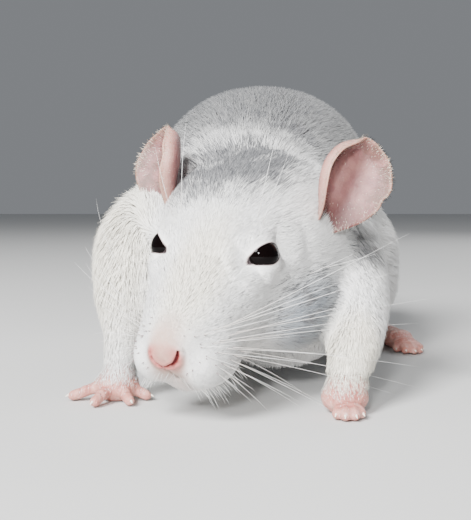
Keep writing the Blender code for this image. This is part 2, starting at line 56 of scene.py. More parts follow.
bpy.ops.object.camera_add(location=CAMERA_PLACE, rotation=(math.pi / 2 - CAMERA_DIP, 0.0, 0.0))
camera = bpy.context.active_object
camera.data.sensor_fit = "VERTICAL"
camera.data.sensor_height = SENSOR_HEIGHT
camera.data.lens = SENSOR_HEIGHT * FOCAL_PIXELS / FRAME_HEIGHT
camera.data.clip_start = 0.005
bpy.context.scene.camera = camera


class Link:
    """A shader socket that Python's operators work on, each adding its Math node."""

    def __init__(self, tree, socket=None):
        self.tree, self.socket = tree, socket

    def node(self, kind, settings=None, inputs=None, output=0):
        made = self.tree.nodes.new("ShaderNode" + kind)
        for key, value in (settings or {}).items():
            setattr(made, key, value)
        for key, value in (inputs or {}).items():
            if isinstance(value, Link):
                self.tree.links.new(value.socket, made.inputs[key])
            else:
                made.inputs[key].default_value = value
        return Link(self.tree, made.outputs[output])

    def maths(self, operation, *values):
        return self.node("Math", {"operation": operation}, dict(enumerate(values)))

    def __add__(self, other):
        return self.maths("ADD", self, other)

    def __sub__(self, other):
        return self.maths("SUBTRACT", self, other)

    def __rsub__(self, other):
        return self.maths("SUBTRACT", other, self)

    def __mul__(self, other):
        return self.maths("MULTIPLY", self, other)

    __radd__, __rmul__ = __add__, __mul__

    def rise(self, low, high):
        """0 below low, 1 above high and a soft step between."""
        limits = {"From Min": low, "From Max": high, "Value": self}
        return self.node("MapRange", {"interpolation_type": "SMOOTHSTEP"}, limits)

    def mix(self, first, second):
        """From the first colour to the second as this value goes from 0 to 1."""
        first, second = (c if isinstance(c, Link) else (*c, 1.0) for c in (first, second))
        return self.node("Mix", {"data_type": "RGBA"}, {0: self, 6: first, 7: second}, output=2)

    def noise(self, scale, detail=2.0, roughness=0.5):
        settings = {"Vector": self, "Scale": scale, "Detail": detail, "Roughness": roughness}
        return self.node("TexNoise", None, settings)

    def cells(self, scale):
        """How far a place is from the edge of its cell, among cells of random shapes."""
        settings = {"Vector": self, "Scale": scale}
        return self.node("TexVoronoi", {"feature": "DISTANCE_TO_EDGE"}, settings)

    def bump(self, strength, distance):
        return self.node("Bump", None, {"Height": self, "Strength": strength, "Distance": distance})

    def place(self):
        """The place on the piece, in Object coordinates."""
        return self.node("TexCoord", output=3)

    def kept(self, label, output=2):
        """A value that the mesh keeps for each corner."""
        return self.node("Attribute", {"attribute_name": label}, output=output)


def material(name, **settings):
    """A Principled material with its uniform values set, and a Link to build on."""
    made = bpy.data.materials.new(name)
    made.use_nodes = True
    shader = made.node_tree.nodes["Principled BSDF"]
    for key, value in settings.items():
        shader.inputs[key.replace("_", " ")].default_value = value
    return made, Link(made.node_tree)


def wear(made, **links):
    """Link values that change over the surface to the shader's sockets."""
    shader = made.node_tree.nodes["Principled BSDF"]
    for key, value in links.items():
        made.node_tree.links.new(value.socket, shader.inputs[key.replace("_", " ")])


paper, _ = material("floor_paper", Base_Color=(0.62, 0.62, 0.61, 1.0), Roughness=0.85)
floor.data.materials.append(paper)

# The light: a large soft lamp high on the left, a small one above the camera that gives the
# eyes their sharp points of light, a weak one behind the rump, and a pale room all round.
LAMPS = (("key", (-0.46, -0.78, 0.66), 0.4, 30.0), ("front", (-0.1, -0.66, 0.24), 0.07, 4.0),
         ("back", (0.5, 0.6, 0.6), 0.5, 3.0))
LIT_PLACE = Vector((0.0, -0.08, 0.03))
ROOM_COLOUR, ROOM_STRENGTH = (0.86, 0.9, 0.96, 1.0), 0.25

for name, place, size, watts in LAMPS:
    turn = (LIT_PLACE - Vector(place)).to_track_quat("-Z", "Y").to_euler()
    bpy.ops.object.light_add(type="AREA", location=place, rotation=turn)
    lamp = bpy.context.active_object
    lamp.name = "lamp_" + name
    lamp.data.shape, lamp.data.size, lamp.data.energy = "DISK", size, watts
world = bpy.data.worlds.new("room")
world.use_nodes = True
world.node_tree.nodes["Background"].inputs["Color"].default_value = ROOM_COLOUR
world.node_tree.nodes["Background"].inputs["Strength"].default_value = ROOM_STRENGTH
bpy.context.scene.world = world

# The skin: one closed surface over head, neck, trunk and legs. It lies inside the flesh
# by the depth of the coat, and lids, nostrils and lips are worked into it.
NOSE_TIP = Vector((-23.05, -151.55, 13.8)) * MM
HEAD_TURN = (Matrix.Rotation(math.radians(-25.0), 3, "Z") @ Matrix.Rotation(math.radians(26.0), 3, "X")
             @ Matrix.Rotation(math.radians(4.7), 3, "Y"))
HEAD_AXES = np.array(HEAD_TURN)
HEAD_SIZE = 1.05 * MM
SWELL, SKIN_GRAIN = 0.4 * MM, 0.9 * MM
FLESH = ("head", "neck", "torso", "foreleg_L", "foreleg_R", "hindleg_L", "hindleg_R")


def in_head(places):
    """Places as the head has them, in its own millimetres: x to its left, y back, z up."""
    return (np.asarray(places) - np.array(NOSE_TIP)) @ HEAD_AXES / HEAD_SIZE


def from_head(places):
    """Places in the head's millimetres as the scene has them, in metres."""
    return np.asarray(places) @ HEAD_AXES.T * HEAD_SIZE + np.array(NOSE_TIP)


def new_piece(name, mesh):
    """An object in the scene with this mesh."""
    piece = bpy.data.objects.new(name, mesh)
    bpy.context.scene.collection.objects.link(piece)
    return piece


def merged_copy(name):
    """A copy of a node's solid with its triangles joined at their corners."""
    copy = new_piece(name + "_copy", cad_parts[name].data.copy())
    shape = bmesh.new()
    shape.from_mesh(copy.data)
    bmesh.ops.remove_doubles(shape, verts=shape.verts, dist=1e-6)
    shape.to_mesh(copy.data)
    shape.free()
    copy.data.materials.clear()
    return copy


def apply_modifier(obj, kind, **settings):
    """Add a modifier with its settings and apply it."""
    bpy.context.view_layer.objects.active = obj
    modifier = obj.modifiers.new(kind.title(), kind)
    for key, value in settings.items():
        setattr(modifier, key, value)
    bpy.ops.object.modifier_apply(modifier=modifier.name)


def fused(name, nodes, swell, grain, rounds):
    """The nodes' solids as one smooth surface."""
    bpy.ops.object.select_all(action="DESELECT")
    copies = [merged_copy(node) for node in nodes]
    for copy in copies:
        if swell:
            apply_modifier(copy, "DISPLACE", strength=swell, mid_level=0.0)
        copy.select_set(True)
        bpy.context.view_layer.objects.active = copy
    if len(copies) > 1:
        bpy.ops.object.join()
    obj = bpy.context.view_layer.objects.active
    obj.name = obj.data.name = name
    apply_modifier(obj, "REMESH", mode="VOXEL", voxel_size=grain)
    apply_modifier(obj, "SMOOTH", factor=0.5, iterations=rounds)
    return obj


def corners(mesh):
    """The places of the mesh's corners, as an array."""
    places = np.empty(len(mesh.vertices) * 3, np.float32)
    mesh.vertices.foreach_get("co", places)
    return places.reshape(-1, 3).astype(float)


def move_corners(mesh, places):
    mesh.vertices.foreach_set("co", places.astype(np.float32).ravel())


def keep_values(mesh, **values):
    """Keep a value for each corner on the mesh, under its name, for the material to read."""
    for label, numbers in values.items():
        kept = mesh.attributes.new(label, "FLOAT", "POINT")
        kept.data.foreach_set("value", numbers.astype(np.float32))


def triangles(mesh):
    """The mesh's faces as triangles, each with the numbers of its corners."""
    mesh.calc_loop_triangles()
    index = np.empty(len(mesh.loop_triangles) * 3, np.int32)
    mesh.loop_triangles.foreach_get("vertices", index)
    return index.reshape(-1, 3)


def unit(vectors):
    """Vectors of the same ways and a length of 1."""
    return vectors / np.maximum(np.linalg.norm(vectors, axis=-1, keepdims=True), 1e-12)


def facings(places, faces):
    """Each face's normal, as long as twice the face's area."""
    first, second, third = (places[faces[:, corner]] for corner in range(3))
    return np.cross(second - first, third - first)


def normals_of(places, faces):
    """A normal for each corner, from the faces round it."""
    across = facings(places, faces)
    out = np.zeros_like(places)
    for corner in range(3):
        for axis in range(3):
            out[:, axis] += np.bincount(faces[:, corner], across[:, axis], len(places))
    return unit(out)


def smoothed(values, faces, rounds, share=None):
    """Values evened out over the surface; share says how much, corner by corner."""
    edges = np.vstack([faces[:, [0, 1]], faces[:, [1, 2]], faces[:, [2, 0]]])
    start, end = edges[:, 0], edges[:, 1]
    values = np.array(values, float)
    flat = values.reshape(len(values), -1)
    size = len(values)
    count = np.maximum(np.bincount(start, minlength=size) + np.bincount(end, minlength=size), 1)
    amount = 0.5 if share is None else 0.5 * share
    for _ in range(rounds):
        for column in range(flat.shape[1]):
            total = (np.bincount(start, flat[end, column], size)
                     + np.bincount(end, flat[start, column], size))
            flat[:, column] += amount * (total / count - flat[:, column])
    return flat.reshape(values.shape)


def step(value, low, high):
    """0 below low, 1 above high and a soft rise between."""
    t = np.clip((value - low) / (high - low), 0.0, 1.0)
    return t * t * (3.0 - 2.0 * t)


# The lids' opening, as one looks straight into the eye: half an oval behind, and in front two
# edges that bow towards the corner of the eye. Sizes are in the head's own millimetres.
EYE_BALL = 3.75
EYE_PLACE = (9.85, 26.1, 8.05)
EYE_AXIS = (0.803, -0.374, 0.465)
EYE_SLANT = {1: math.radians(16.4), -1: math.radians(24.0)}
LID_UP, LID_DOWN, LID_BACK, LID_CORNER = 1.95, 2.08, 3.2, (4.3, -0.3)
UPPER_BOW, LOWER_BOW = 2.6, 1.4
SIGHT_TURN, SIGHT_REACH = 1.3, 1.75    # past this turn and reach, places count as further out

run, turn = np.linspace(0.0, 1.0, 61), np.linspace(0.0, math.pi, 61)[1:-1]
half_up = np.where(turn < math.pi / 2, LID_UP, LID_DOWN)
lid_edge = np.vstack([
    np.column_stack([LID_CORNER[0] * run, LID_UP - (LID_UP - LID_CORNER[1]) * run ** UPPER_BOW]),
    np.column_stack([-LID_BACK * np.sin(turn), half_up * np.cos(turn)]),
    np.column_stack([LID_CORNER[0] * run, -LID_DOWN + (LID_DOWN + LID_CORNER[1]) * run ** LOWER_BOW])])
lid_turns, lid_radii = np.degrees(np.arctan2(lid_edge[:, 1], lid_edge[:, 0])), np.hypot(*lid_edge.T)


def eye_frame(side):
    """The eye's centre and its axes in the head: along the lids, up, and out of the eye."""
    axis = unit(np.array(EYE_AXIS) * (side, 1, 1))
    forward = np.array((0.0, -1.0, 0.0))
    along = unit(forward - forward @ axis * axis)
    up = -side * np.cross(axis, along)
    slant = EYE_SLANT[side]
    along, up = (math.cos(slant) * along + math.sin(slant) * up,
                 math.cos(slant) * up - math.sin(slant) * along)
    return np.array(EYE_PLACE) * (side, 1, 1), np.array((along, up, axis))


def lid_reach(plane):
    """How far out a place on the lids' plane is from the middle of their opening: 1 on the edge."""
    turn = np.degrees(np.arctan2(plane[:, 1], plane[:, 0]))
    return np.hypot(plane[:, 0], plane[:, 1]) / np.interp(turn, lid_turns, lid_radii, period=360)


def seen_from_eye(local):
    """A place's reach from the lids' opening as the eye's centre sees it."""
    flat = np.maximum(np.hypot(local[:, 0], local[:, 1]), 1e-9)
    angle = np.arctan2(flat, local[:, 2])
    spread = np.where(angle < SIGHT_TURN, np.sin(angle), math.sin(SIGHT_TURN) + angle - SIGHT_TURN)
    far = np.maximum(0.0, np.linalg.norm(local, axis=1) - SIGHT_REACH * EYE_BALL)
    return lid_reach(local[:, :2] * ((EYE_BALL * spread + far) / flat)[:, None])


def refine(obj, near, rounds):
    """Split the faces that lie near something into four, as often as asked."""
    shape = bmesh.new()
    shape.from_mesh(obj.data)
    for number in range(rounds):
        places = in_head([v.co[:] for v in shape.verts])
        chosen = near(places, number)
        edges = [e for e in shape.edges if chosen[e.verts[0].index] and chosen[e.verts[1].index]]
        bmesh.ops.subdivide_edges(shape, edges=edges, cuts=1, use_grid_fill=True)
        shape.verts.index_update()
    bmesh.ops.triangulate(shape, faces=shape.faces)
    shape.to_mesh(obj.data)
    shape.free()


FINE_ROUND_EYES, FINE_AHEAD = (9.5, 7.0, 5.4), (17.0, 5.0, -9.0)
FACE_END, EYES_END = (-20.0, -14.0), (8.0, 10.0)
TRUNK_FROM, TRUNK_ABOVE = (34.0, 56.0), (0.014, 0.03)


def face_detail(places, number):
    """Where the head needs finer faces: the whole face first, then eyes, nose and mouth."""
    reach = np.full(len(places), False)
    for side in (-1, 1):
        centre, _ = eye_frame(side)
        reach |= np.linalg.norm(places - centre, axis=1) < FINE_ROUND_EYES[number]
    return reach | (places[:, 1] < FINE_AHEAD[number])


skin = fused("skin", FLESH + ("eye_L", "eye_R"), SWELL, SKIN_GRAIN, 8)
refine(skin, face_detail, 3)
places, faces = corners(skin.data), triangles(skin.data)
head_places = in_head(places)
detail = step(-head_places[:, 1], *FACE_END)
for side in (-1, 1):
    distance = np.linalg.norm(head_places - eye_frame(side)[0], axis=1)
    detail = np.maximum(detail, 1.0 - step(distance, *EYES_END))
places = smoothed(places, faces, 6, detail)
trunk = step(head_places[:, 1], *TRUNK_FROM) * step(places[:, 2], *TRUNK_ABOVE)
places = smoothed(places, faces, 14, trunk)
normals = normals_of(places, faces)

# Each corner of the skin belongs to the solid that it lies nearest to.
solids = []
owners = []
for number, name in enumerate(FLESH):
    copy = merged_copy(name)
    node_places, node_faces = corners(copy.data), triangles(copy.data)
    solids.append((node_places, node_faces + sum(len(p) for p, _ in solids)))
    owners.append(np.full(len(node_faces), number))
    bpy.data.objects.remove(copy)
owners = np.concatenate(owners)
all_places = np.vstack([p for p, _ in solids])
all_faces = np.vstack([f for _, f in solids])
nearest = BVHTree.FromPolygons(all_places.tolist(), all_faces.tolist())
owner = owners[[nearest.find_nearest(place)[2] for place in places.tolist()]]

# The coat's depth and the way that it lies, worked out over the skin before it is set in.
# It is a millimetre on the face, about two over the back, and runs out at nose and wrists.
# Each pair is a place, back from the nose or up from the floor, and the depth there.
FACE_DEPTHS = ((2.0, 0.0), (5.0, 0.3), (14.0, 0.8), (26.0, 1.1), (38.0, 1.7), (50.0, 2.2))
TRUNK_DEPTH = 2.2
LEG_DEPTHS = ((7.5, 0.35), (16.0, 0.8), (28.0, 1.4), (45.0, 2.0))
WAYS = {"neck": (0.0, 1.0, -0.25), "torso": (0.0, 1.0, -0.3), "foreleg_L": (-0.05, -0.1, -1.0),
        "foreleg_R": (-0.1, -0.15, -1.0), "hindleg_L": (0.2, 0.75, -0.8), "hindleg_R": (-0.2, 0.75, -0.8)}
FACE_WAY, CHEEK_DOWN, FACE_ASIDE = (0.0, 1.0, 0.0), (0, 0, -0.35), (0.25, 0.0, 0.0)
CHEEK_FROM = (12.0, 40.0)
HOCK_HEIGHT, HOCK_WAY = 16.0, (0.0, 0.5, -0.9)
NO_LID, LID_NEAR, LID_FLOW_NEAR = 9.0, 10.0, 12.0
LID_BARE, NOSE_BARE = (1.0, 2.6), (1.6, 6.0)
LIDS_EVEN_FROM, LIDS_EVEN_TO = (1.0, 1.3), (2.8, 3.8)
TAIL_STUB_BACK, TAIL_STUB_TOP, TAIL_STUB_LIFT = (-0.0076, -0.0056), (-0.0145, -0.0115), 2.0 * MM

depth = np.zeros(len(places))
way = np.zeros((len(places), 3))
for number, name in enumerate(FLESH):
    mine = owner == number
    height = places[mine, 2] / MM
    if name == "head":
        depth[mine] = np.interp(head_places[mine, 1], *zip(*FACE_DEPTHS))
        lie = np.array(FACE_WAY) + np.outer(step(head_places[mine, 1], *CHEEK_FROM), CHEEK_DOWN)
        lie += np.sign(head_places[mine, 0:1]) * np.array(FACE_ASIDE)
        way[mine] = lie @ HEAD_AXES.T
    else:
        legs = name[:4] in ("fore", "hind")
        depth[mine] = np.interp(height, *zip(*LEG_DEPTHS)) if legs else TRUNK_DEPTH
        way[mine] = WAYS[name]
        if name.startswith("hind"):
            way[mine] = np.where(height[:, None] < HOCK_HEIGHT, HOCK_WAY, way[mine])
depth = smoothed(depth, faces, 40)
way = smoothed(unit(way), faces, 60)
lid_out = np.full(len(places), NO_LID)
for side in (-1, 1):
    centre, axes = eye_frame(side)
    local = (head_places - centre) @ axes.T
    near_eye = np.linalg.norm(local, axis=1) < LID_NEAR
    lid_out = np.where(near_eye, np.minimum(lid_out, seen_from_eye(local)), lid_out)
depth *= step(lid_out, *LID_BARE) * step(head_places[:, 1], *NOSE_BARE)

places = places - normals * (depth * MM + SWELL)[:, None]
places = smoothed(places, faces, 2, detail)
tail_stub = step(places[:, 1], *TAIL_STUB_BACK) * step(-places[:, 2], *TAIL_STUB_TOP)
places[:, 2] += TAIL_STUB_LIFT * tail_stub
round_lids = step(lid_out, *LIDS_EVEN_FROM) * (1.0 - step(lid_out, *LIDS_EVEN_TO))
places = smoothed(places, faces, 60, round_lids)
head_places = in_head(places)

# The lids: a fold of skin that lies on the ball round the opening, with a thin rim. Inside
# the opening the skin is sunk below the ball. What pairs hold are reaches from the opening,
# whose edge is 1, where each change starts and ends.
LID_RIM, LID_SKIN, LID_SUNK, LID_RADIUS = 0.08, 0.42, 0.7, 9.0
LID_THICKENS, LID_SINKS, LID_FADES = (1.0, 1.4), (0.93, 1.0), (1.15, 1.8)
RIM_EVEN_FROM, RIM_EVEN_TO = (0.9, 1.0), (1.6, 2.0)
for side in (-1, 1):
    centre, axes = eye_frame(side)
    local = (head_places - centre) @ axes.T
    radius = np.linalg.norm(local, axis=1)
    reach = seen_from_eye(local)
    mine = radius < LID_RADIUS
    lid = EYE_BALL + LID_RIM + (LID_SKIN - LID_RIM) * step(reach, *LID_THICKENS)
    hidden = EYE_BALL - LID_SUNK
    target = np.where(reach < 1.0, hidden + (lid - hidden) * step(reach, *LID_SINKS), lid)
    blend = np.where(mine, 1.0 - step(reach, *LID_FADES), 0.0)
    moved = radius + blend * (target - radius)
    on_lid = centre + (head_places - centre) * (moved / radius)[:, None]
    head_places = np.where(mine[:, None], on_lid, head_places)

lids = step(lid_out, *RIM_EVEN_FROM) * (1.0 - step(lid_out, *RIM_EVEN_TO))
places = smoothed(from_head(head_places), faces, 3, lids)
head_places = in_head(places)

# The nose and mouth: each nostril is a slit from the front round to the side, between swollen
# wings, with a cleft below them that parts the upper lip. NOSTRIL has the slit's points as
# place across, height and half-width, and the rest are depths and half-widths.
NOSTRIL = ((0.5, -1.65, 0.32), (1.5, -1.4, 0.46), (2.4, -0.7, 0.46), (2.85, 0.4, 0.34), (2.9, 1.3, 0.2))
NOSTRIL_SPREAD = {1: 1.0, -1: 0.86}
WING_WIDTH, FLUSH_WIDTH, SHADE_WIDTH, SHADE_SHARE = 0.35, 1.1, 0.65, 0.8
CLEFT_WIDTH, CLEFT_TOP, CLEFT_BACK, CLEFT_LOW = 0.42, (1.9, 2.8), (6.0, 8.0), 8.0
MOUTH_WIDTH, MOUTH_START, MOUTH_BACK, MOUTH_SIDE, MOUTH_TOP = 0.4, 6.0, 9.0, 7.6, (3.0, 5.0)
NOSTRIL_DEPTH, CLEFT_DEPTH, MOUTH_DEPTH, WING_HEIGHT = 1.1, 0.7, 0.55, 0.16
NOSE_FRONT = 4.5


def bell(distance, width):
    """1 at no distance, fading to nothing over about two widths."""
    return np.exp(-(distance / width) ** 2)


nostril, wing, flush, shade = (np.zeros(len(places)) for _ in range(4))
front = head_places[:, 1] < NOSE_FRONT
low = front & (head_places[:, 2] < -0.1)
for side in (-1, 1):
    spread = side * NOSTRIL_SPREAD[side]
    for (x0, z0, r0), (x1, z1, r1) in zip(NOSTRIL[:-1], NOSTRIL[1:]):
        start, stretch = np.array((spread * x0, z0)), np.array((spread * (x1 - x0), z1 - z0))
        flat = head_places[:, [0, 2]] - start
        t = np.clip(flat @ stretch / (stretch @ stretch), 0.0, 1.0)
        distance = np.linalg.norm(flat - t[:, None] * stretch, axis=1)
        width = r0 + (r1 - r0) * t
        slit = 1.0 - step(distance, 0.45 * width, 1.15 * width)
        nostril = np.maximum(nostril, np.where(front, slit, 0.0))
        wing = np.maximum(wing, np.where(front, bell(distance - 1.9 * width, WING_WIDTH), 0.0))
        flush = np.maximum(flush, np.where(front, bell(distance, FLUSH_WIDTH), 0.0))
        # A painted shadow on the lower half of the right nostril.
        if side < 0:
            shade = np.maximum(shade, np.where(low, SHADE_SHARE * bell(distance, SHADE_WIDTH), 0.0))
cleft = bell(head_places[:, 0], CLEFT_WIDTH) * step(-head_places[:, 2], *CLEFT_TOP)
cleft *= 1.0 - step(head_places[:, 1], *CLEFT_BACK)
cleft *= step(CLEFT_LOW + head_places[:, 2], 0.0, 1.0)
under = step(-head_places[:, 2], *MOUTH_TOP)
mouth_y = MOUTH_START + MOUTH_BACK * (head_places[:, 0] / MOUTH_SIDE) ** 2
mouth = bell(head_places[:, 1] - mouth_y, MOUTH_WIDTH) * under * (np.abs(head_places[:, 0]) < 8.0)
head_normals = normals_of(from_head(head_places), faces) @ HEAD_AXES
inward = NOSTRIL_DEPTH * nostril + CLEFT_DEPTH * cleft + MOUTH_DEPTH * mouth - WING_HEIGHT * wing
head_places -= head_normals * inward[:, None]
places = from_head(head_places)
normals = normals_of(places, faces)

# The fur's flow: it parts round each eye, as a stream does round a stone, and it runs up
# from the head on to the root of each ear. It is shorter close to the lids and the nose.
EAR_ROOT = {1: (19.2, 41.5, 8.6), -1: (-18.5, 41.5, 8.6)}
EAR_AXIS = {1: (0.28, 0.61, 0.74), -1: (-0.12, 0.62, 0.76)}
PARTING, PARTING_FROM, PARTING_TURN = (3.68, 2.5), (2.2, 3.6), 0.8
EAR_FLOW, EAR_FLOW_FROM, EAR_FLOW_SPREAD = 1.2, (3.5, 9.0), 0.15
LID_FUR, NOSE_FUR, SHORT_BY_LIDS, SHORT_BY_NOSE = 0.6, 0.45, (1.0, 2.2), (2.0, 9.0)

head_way = way @ HEAD_AXES
lid_out = np.full(len(places), NO_LID)
for side in (-1, 1):
    centre, axes = eye_frame(side)
    local = (head_places - centre) @ axes.T
    near_eye = (local[:, 2] > -1.5) & (np.linalg.norm(local, axis=1) < LID_FLOW_NEAR)
    reach = np.where(near_eye, lid_reach(local[:, :2]), NO_LID)
    lid_out = np.minimum(lid_out, reach)
    plane = local[:, :2] / PARTING
    out = unit(plane)
    flow = unit((head_way @ axes.T)[:, :2])
    parted = np.minimum(1.0, 1.0 / (plane ** 2).sum(1))[:, None]
    flow = flow + parted * (flow - (2.0 * (flow * out).sum(1)[:, None] - PARTING_TURN) * out)
    share = (1.0 - step(reach, *PARTING_FROM))[:, None]
    head_way = head_way + share * (unit(flow @ axes[:2]) - head_way)
    to_ear = head_places - np.array(EAR_ROOT[side])
    share = EAR_FLOW * (1.0 - step(np.linalg.norm(to_ear, axis=1), *EAR_FLOW_FROM))[:, None]
    head_way = head_way + share * unit(np.array(EAR_AXIS[side]) + EAR_FLOW_SPREAD * unit(to_ear))
way = unit(head_way @ HEAD_AXES.T)
way = unit(way - (way * normals).sum(1)[:, None] * normals)
by_lids, by_nose = step(lid_out, *SHORT_BY_LIDS), step(head_places[:, 1], *SHORT_BY_NOSE)
short = (LID_FUR + (1.0 - LID_FUR) * by_lids) * (NOSE_FUR + (1.0 - NOSE_FUR) * by_nose)

# Bare and thin places: the lids' rims, the pad of the nose, lips and cleft carry no fur, and
# the bridge of the nose so little that the pink shows through.
NOSE_PAD, NOSE_PAD_DROP, NOSE_PAD_BACK = (3.8, 3.5), 0.6, 4.0
BRIDGE, BRIDGE_AHEAD, BRIDGE_BACK = (5.6, 9.5), 1.5, 12.0

nose_reach = np.hypot(head_places[:, 0] / NOSE_PAD[0], (head_places[:, 2] + NOSE_PAD_DROP) / NOSE_PAD[1])
nose_reach = np.where(head_places[:, 1] < NOSE_PAD_BACK, nose_reach, NO_LID)
rim = 1.0 - step(lid_out, 1.03, 1.17)
bare = np.maximum.reduce([rim, 1.0 - step(nose_reach, 0.8, 1.2), 0.8 * mouth, 0.9 * cleft])
bridge = np.hypot(head_places[:, 0] / BRIDGE[0], (head_places[:, 1] + BRIDGE_AHEAD) / BRIDGE[1])
thin = np.maximum(1.0 - step(bridge, 0.4, 1.0), bare) * (head_places[:, 1] < BRIDGE_BACK)
# Painted dark shade in the nostrils and the cleft, and the painted shadow below the right nostril.
pit = np.maximum.reduce([nostril, 0.6 * cleft, shade])
move_corners(skin.data, places)
skin.data.shade_smooth()
keep_values(skin.data, bare=bare, pit=pit, thin=thin, rim=rim, flush=flush)

# The colours of the coat and the skin. A mark has its centre, its half-widths and the shares
# of them where it begins and ends to fade. Marks on the head are in its own millimetres, and
# those on the body in metres, as are the limits of the saddle.
# The last colour on the next line, a bluish grey, is painted shade for the sides of the face.
WHITE_COAT, CREAM_COAT, COOL_SHADE_COAT = (0.92, 0.915, 0.90), (0.92, 0.855, 0.70), (0.28, 0.315, 0.355)
GREY_COAT, ASH_COAT, FLESH_COAT = (0.055, 0.058, 0.066), (0.125, 0.13, 0.135), (0.50, 0.31, 0.245)
STREAK = (0.66, 0.63, 0.60)
NOSE_PINK, PALE_PINK, FLUSH_RED = (0.50, 0.265, 0.215), (0.60, 0.375, 0.30), (0.50, 0.10, 0.095)
PIT_SHADE_RED, LID_GREY = (0.16, 0.008, 0.012), (0.022, 0.012, 0.014)
CROWN_MARK = ((-3.0, 45.0, 15.0), (15.0, 17.0, 10.0), 0.45, 1.1)
NECK_MARK = ((-1.0, 73.0, 12.0), (6.0, 7.0, 9.0), 0.4, 1.1)
CHEEK_MARK = ((16.5, 26.5, -3.0), (9.0, 15.0, 7.5), 0.35, 1.1)
FACE_CREAM = ((1.0, 14.0, 8.0), (7.0, 22.0, 12.0), 0.3, 1.0)
# Painted bluish-grey shade on the left cheek and, fainter, beside the nose on the right.
FACE_SHADE_LEFT = ((17.0, 25.5, -6.0), (9.5, 16.0, 10.0), 0.3, 1.1)
FACE_SHADE_RIGHT = ((-12.0, 16.0, -1.0), (5.0, 15.0, 8.0), 0.3, 1.2)
# A painted shadow of the left ear on the neck below it, in metres.
EAR_SHADOW_MARK = ((0.0175, -0.1170, 0.0350), (0.0075, 0.0085, 0.0075), 0.2, 1.1)
LEG_CREAM_R = ((-0.036, -0.108, 0.03), (0.012, 0.026, 0.03), 0.4, 1.1)
LEG_CREAM_L = ((0.015, -0.134, 0.012), (0.009, 0.012, 0.016), 0.4, 1.1)
SADDLE_HEIGHT, SADDLE_START, SADDLE_HALF = (0.040, 0.066), (-0.12, -0.09), (0.017, 0.036)


def blot(link, place, centre, radii, low, high):
    """1 at the centre of a mark and 0 away from it, as a soft oval blot."""
    gone = link.node("VectorMath", {"operation": "SUBTRACT"}, {0: place, 1: centre})
    gone = link.node("VectorMath", {"operation": "DIVIDE"}, {0: gone, 1: radii})
    return 1.0 - link.node("VectorMath", {"operation": "LENGTH"}, {0: gone}, output=1).rise(low, high)


def markings(link, place):
    """The shares of grey, ash, cream and painted bluish-grey shade in the coat at a place, for skin and hair;
    grey and ash also hold a painted shadow under the left ear.
    """
    inputs = {"Vector": place, "Location": NOSE_TIP, "Rotation": HEAD_TURN.to_euler(),
              "Scale": (HEAD_SIZE,) * 3}
    head_place = link.node("Mapping", {"vector_type": "TEXTURE"}, inputs)
    ruffle = place.noise(220.0, 3.0) - 0.5
    x, y, z = (link.node("SeparateXYZ", None, {0: place}, output=i) for i in range(3))
    crown = blot(link, head_place, *CROWN_MARK) * (ruffle * 3.4 + 1.0)
    saddle = (z + ruffle * 0.02).rise(*SADDLE_HEIGHT) * (y + ruffle * 0.03).rise(*SADDLE_START)
    saddle = saddle * (1.0 - link.maths("ABSOLUTE", x + 0.002).rise(*SADDLE_HALF))
    mottle = place.noise(70.0).rise(0.3, 0.7) * 0.32 + 0.18
    streaks = place.noise(420.0).rise(0.45, 0.62) * 0.8 + 0.2
    # The painted shadow under the left ear greys and ashes the coat there.
    ear_shadow = blot(link, place, *EAR_SHADOW_MARK)
    grey = crown * 1.15 + saddle * mottle + blot(link, head_place, *NECK_MARK) * 0.5
    grey = grey + blot(link, head_place, *CHEEK_MARK) * streaks + ear_shadow * 0.5
    ash = link.maths("MAXIMUM", saddle * 0.98 + ear_shadow * 0.8, crown * 0.7)
    cream = blot(link, head_place, *FACE_CREAM)
    cream = cream + blot(link, place, *LEG_CREAM_R) + blot(link, place, *LEG_CREAM_L)
    # Painted shade on the sides of the face.
    face_shade = blot(link, head_place, *FACE_SHADE_LEFT) + blot(link, head_place, *FACE_SHADE_RIGHT) * 0.4
    return link.maths("MINIMUM", grey, 0.94), ash, cream, face_shade


def white_coat(ash, cream, face_shade, thin):
    """White hair, ashy on the back, cream on face and legs, with painted bluish-grey shade on the left cheek
    and by the nose, pink where thin.
    """
    hair = face_shade.mix(WHITE_COAT, COOL_SHADE_COAT)
    hair = ash.maths("MINIMUM", ash, 1.0).mix(hair, ASH_COAT)
    hair = (cream * 0.8).mix(hair, CREAM_COAT)
    return (thin * 0.9).mix(hair, FLESH_COAT)


coat_under, link = material("skin_under_coat", Roughness=0.75)
place = link.place()
bare_value = link.kept("bare")
streaks = place.noise(1100.0, 3.0)
grey, *tints = markings(link, place)
fur = (grey * 0.6).mix(white_coat(*tints, link.kept("thin")), GREY_COAT)
fur = (streaks.rise(0.4, 0.8) * 0.3).mix(fur, STREAK)
blotch = place.noise(600.0, 3.0).rise(0.3, 0.7)
pink = (blotch * 0.5).mix(NOSE_PINK, PALE_PINK)
pink = (link.kept("flush") * 0.75).mix(pink, FLUSH_RED)
# Painted dark red shade in the nostrils and the cleft.
pink = link.kept("pit").rise(0.3, 0.85).mix(pink, PIT_SHADE_RED)
pink = link.kept("rim").mix(pink, LID_GREY)
pebbles = place.cells(5500.0).rise(0.0, 0.4) * bare_value * 0.4
wear(coat_under, Base_Color=bare_value.mix(fur, pink), Roughness=0.78 - bare_value * 0.42,
     Normal=(pebbles + streaks * 1.2).bump(0.5, 0.0002))
skin.data.materials.append(coat_under)
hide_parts(*FLESH)
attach(skin, "root")

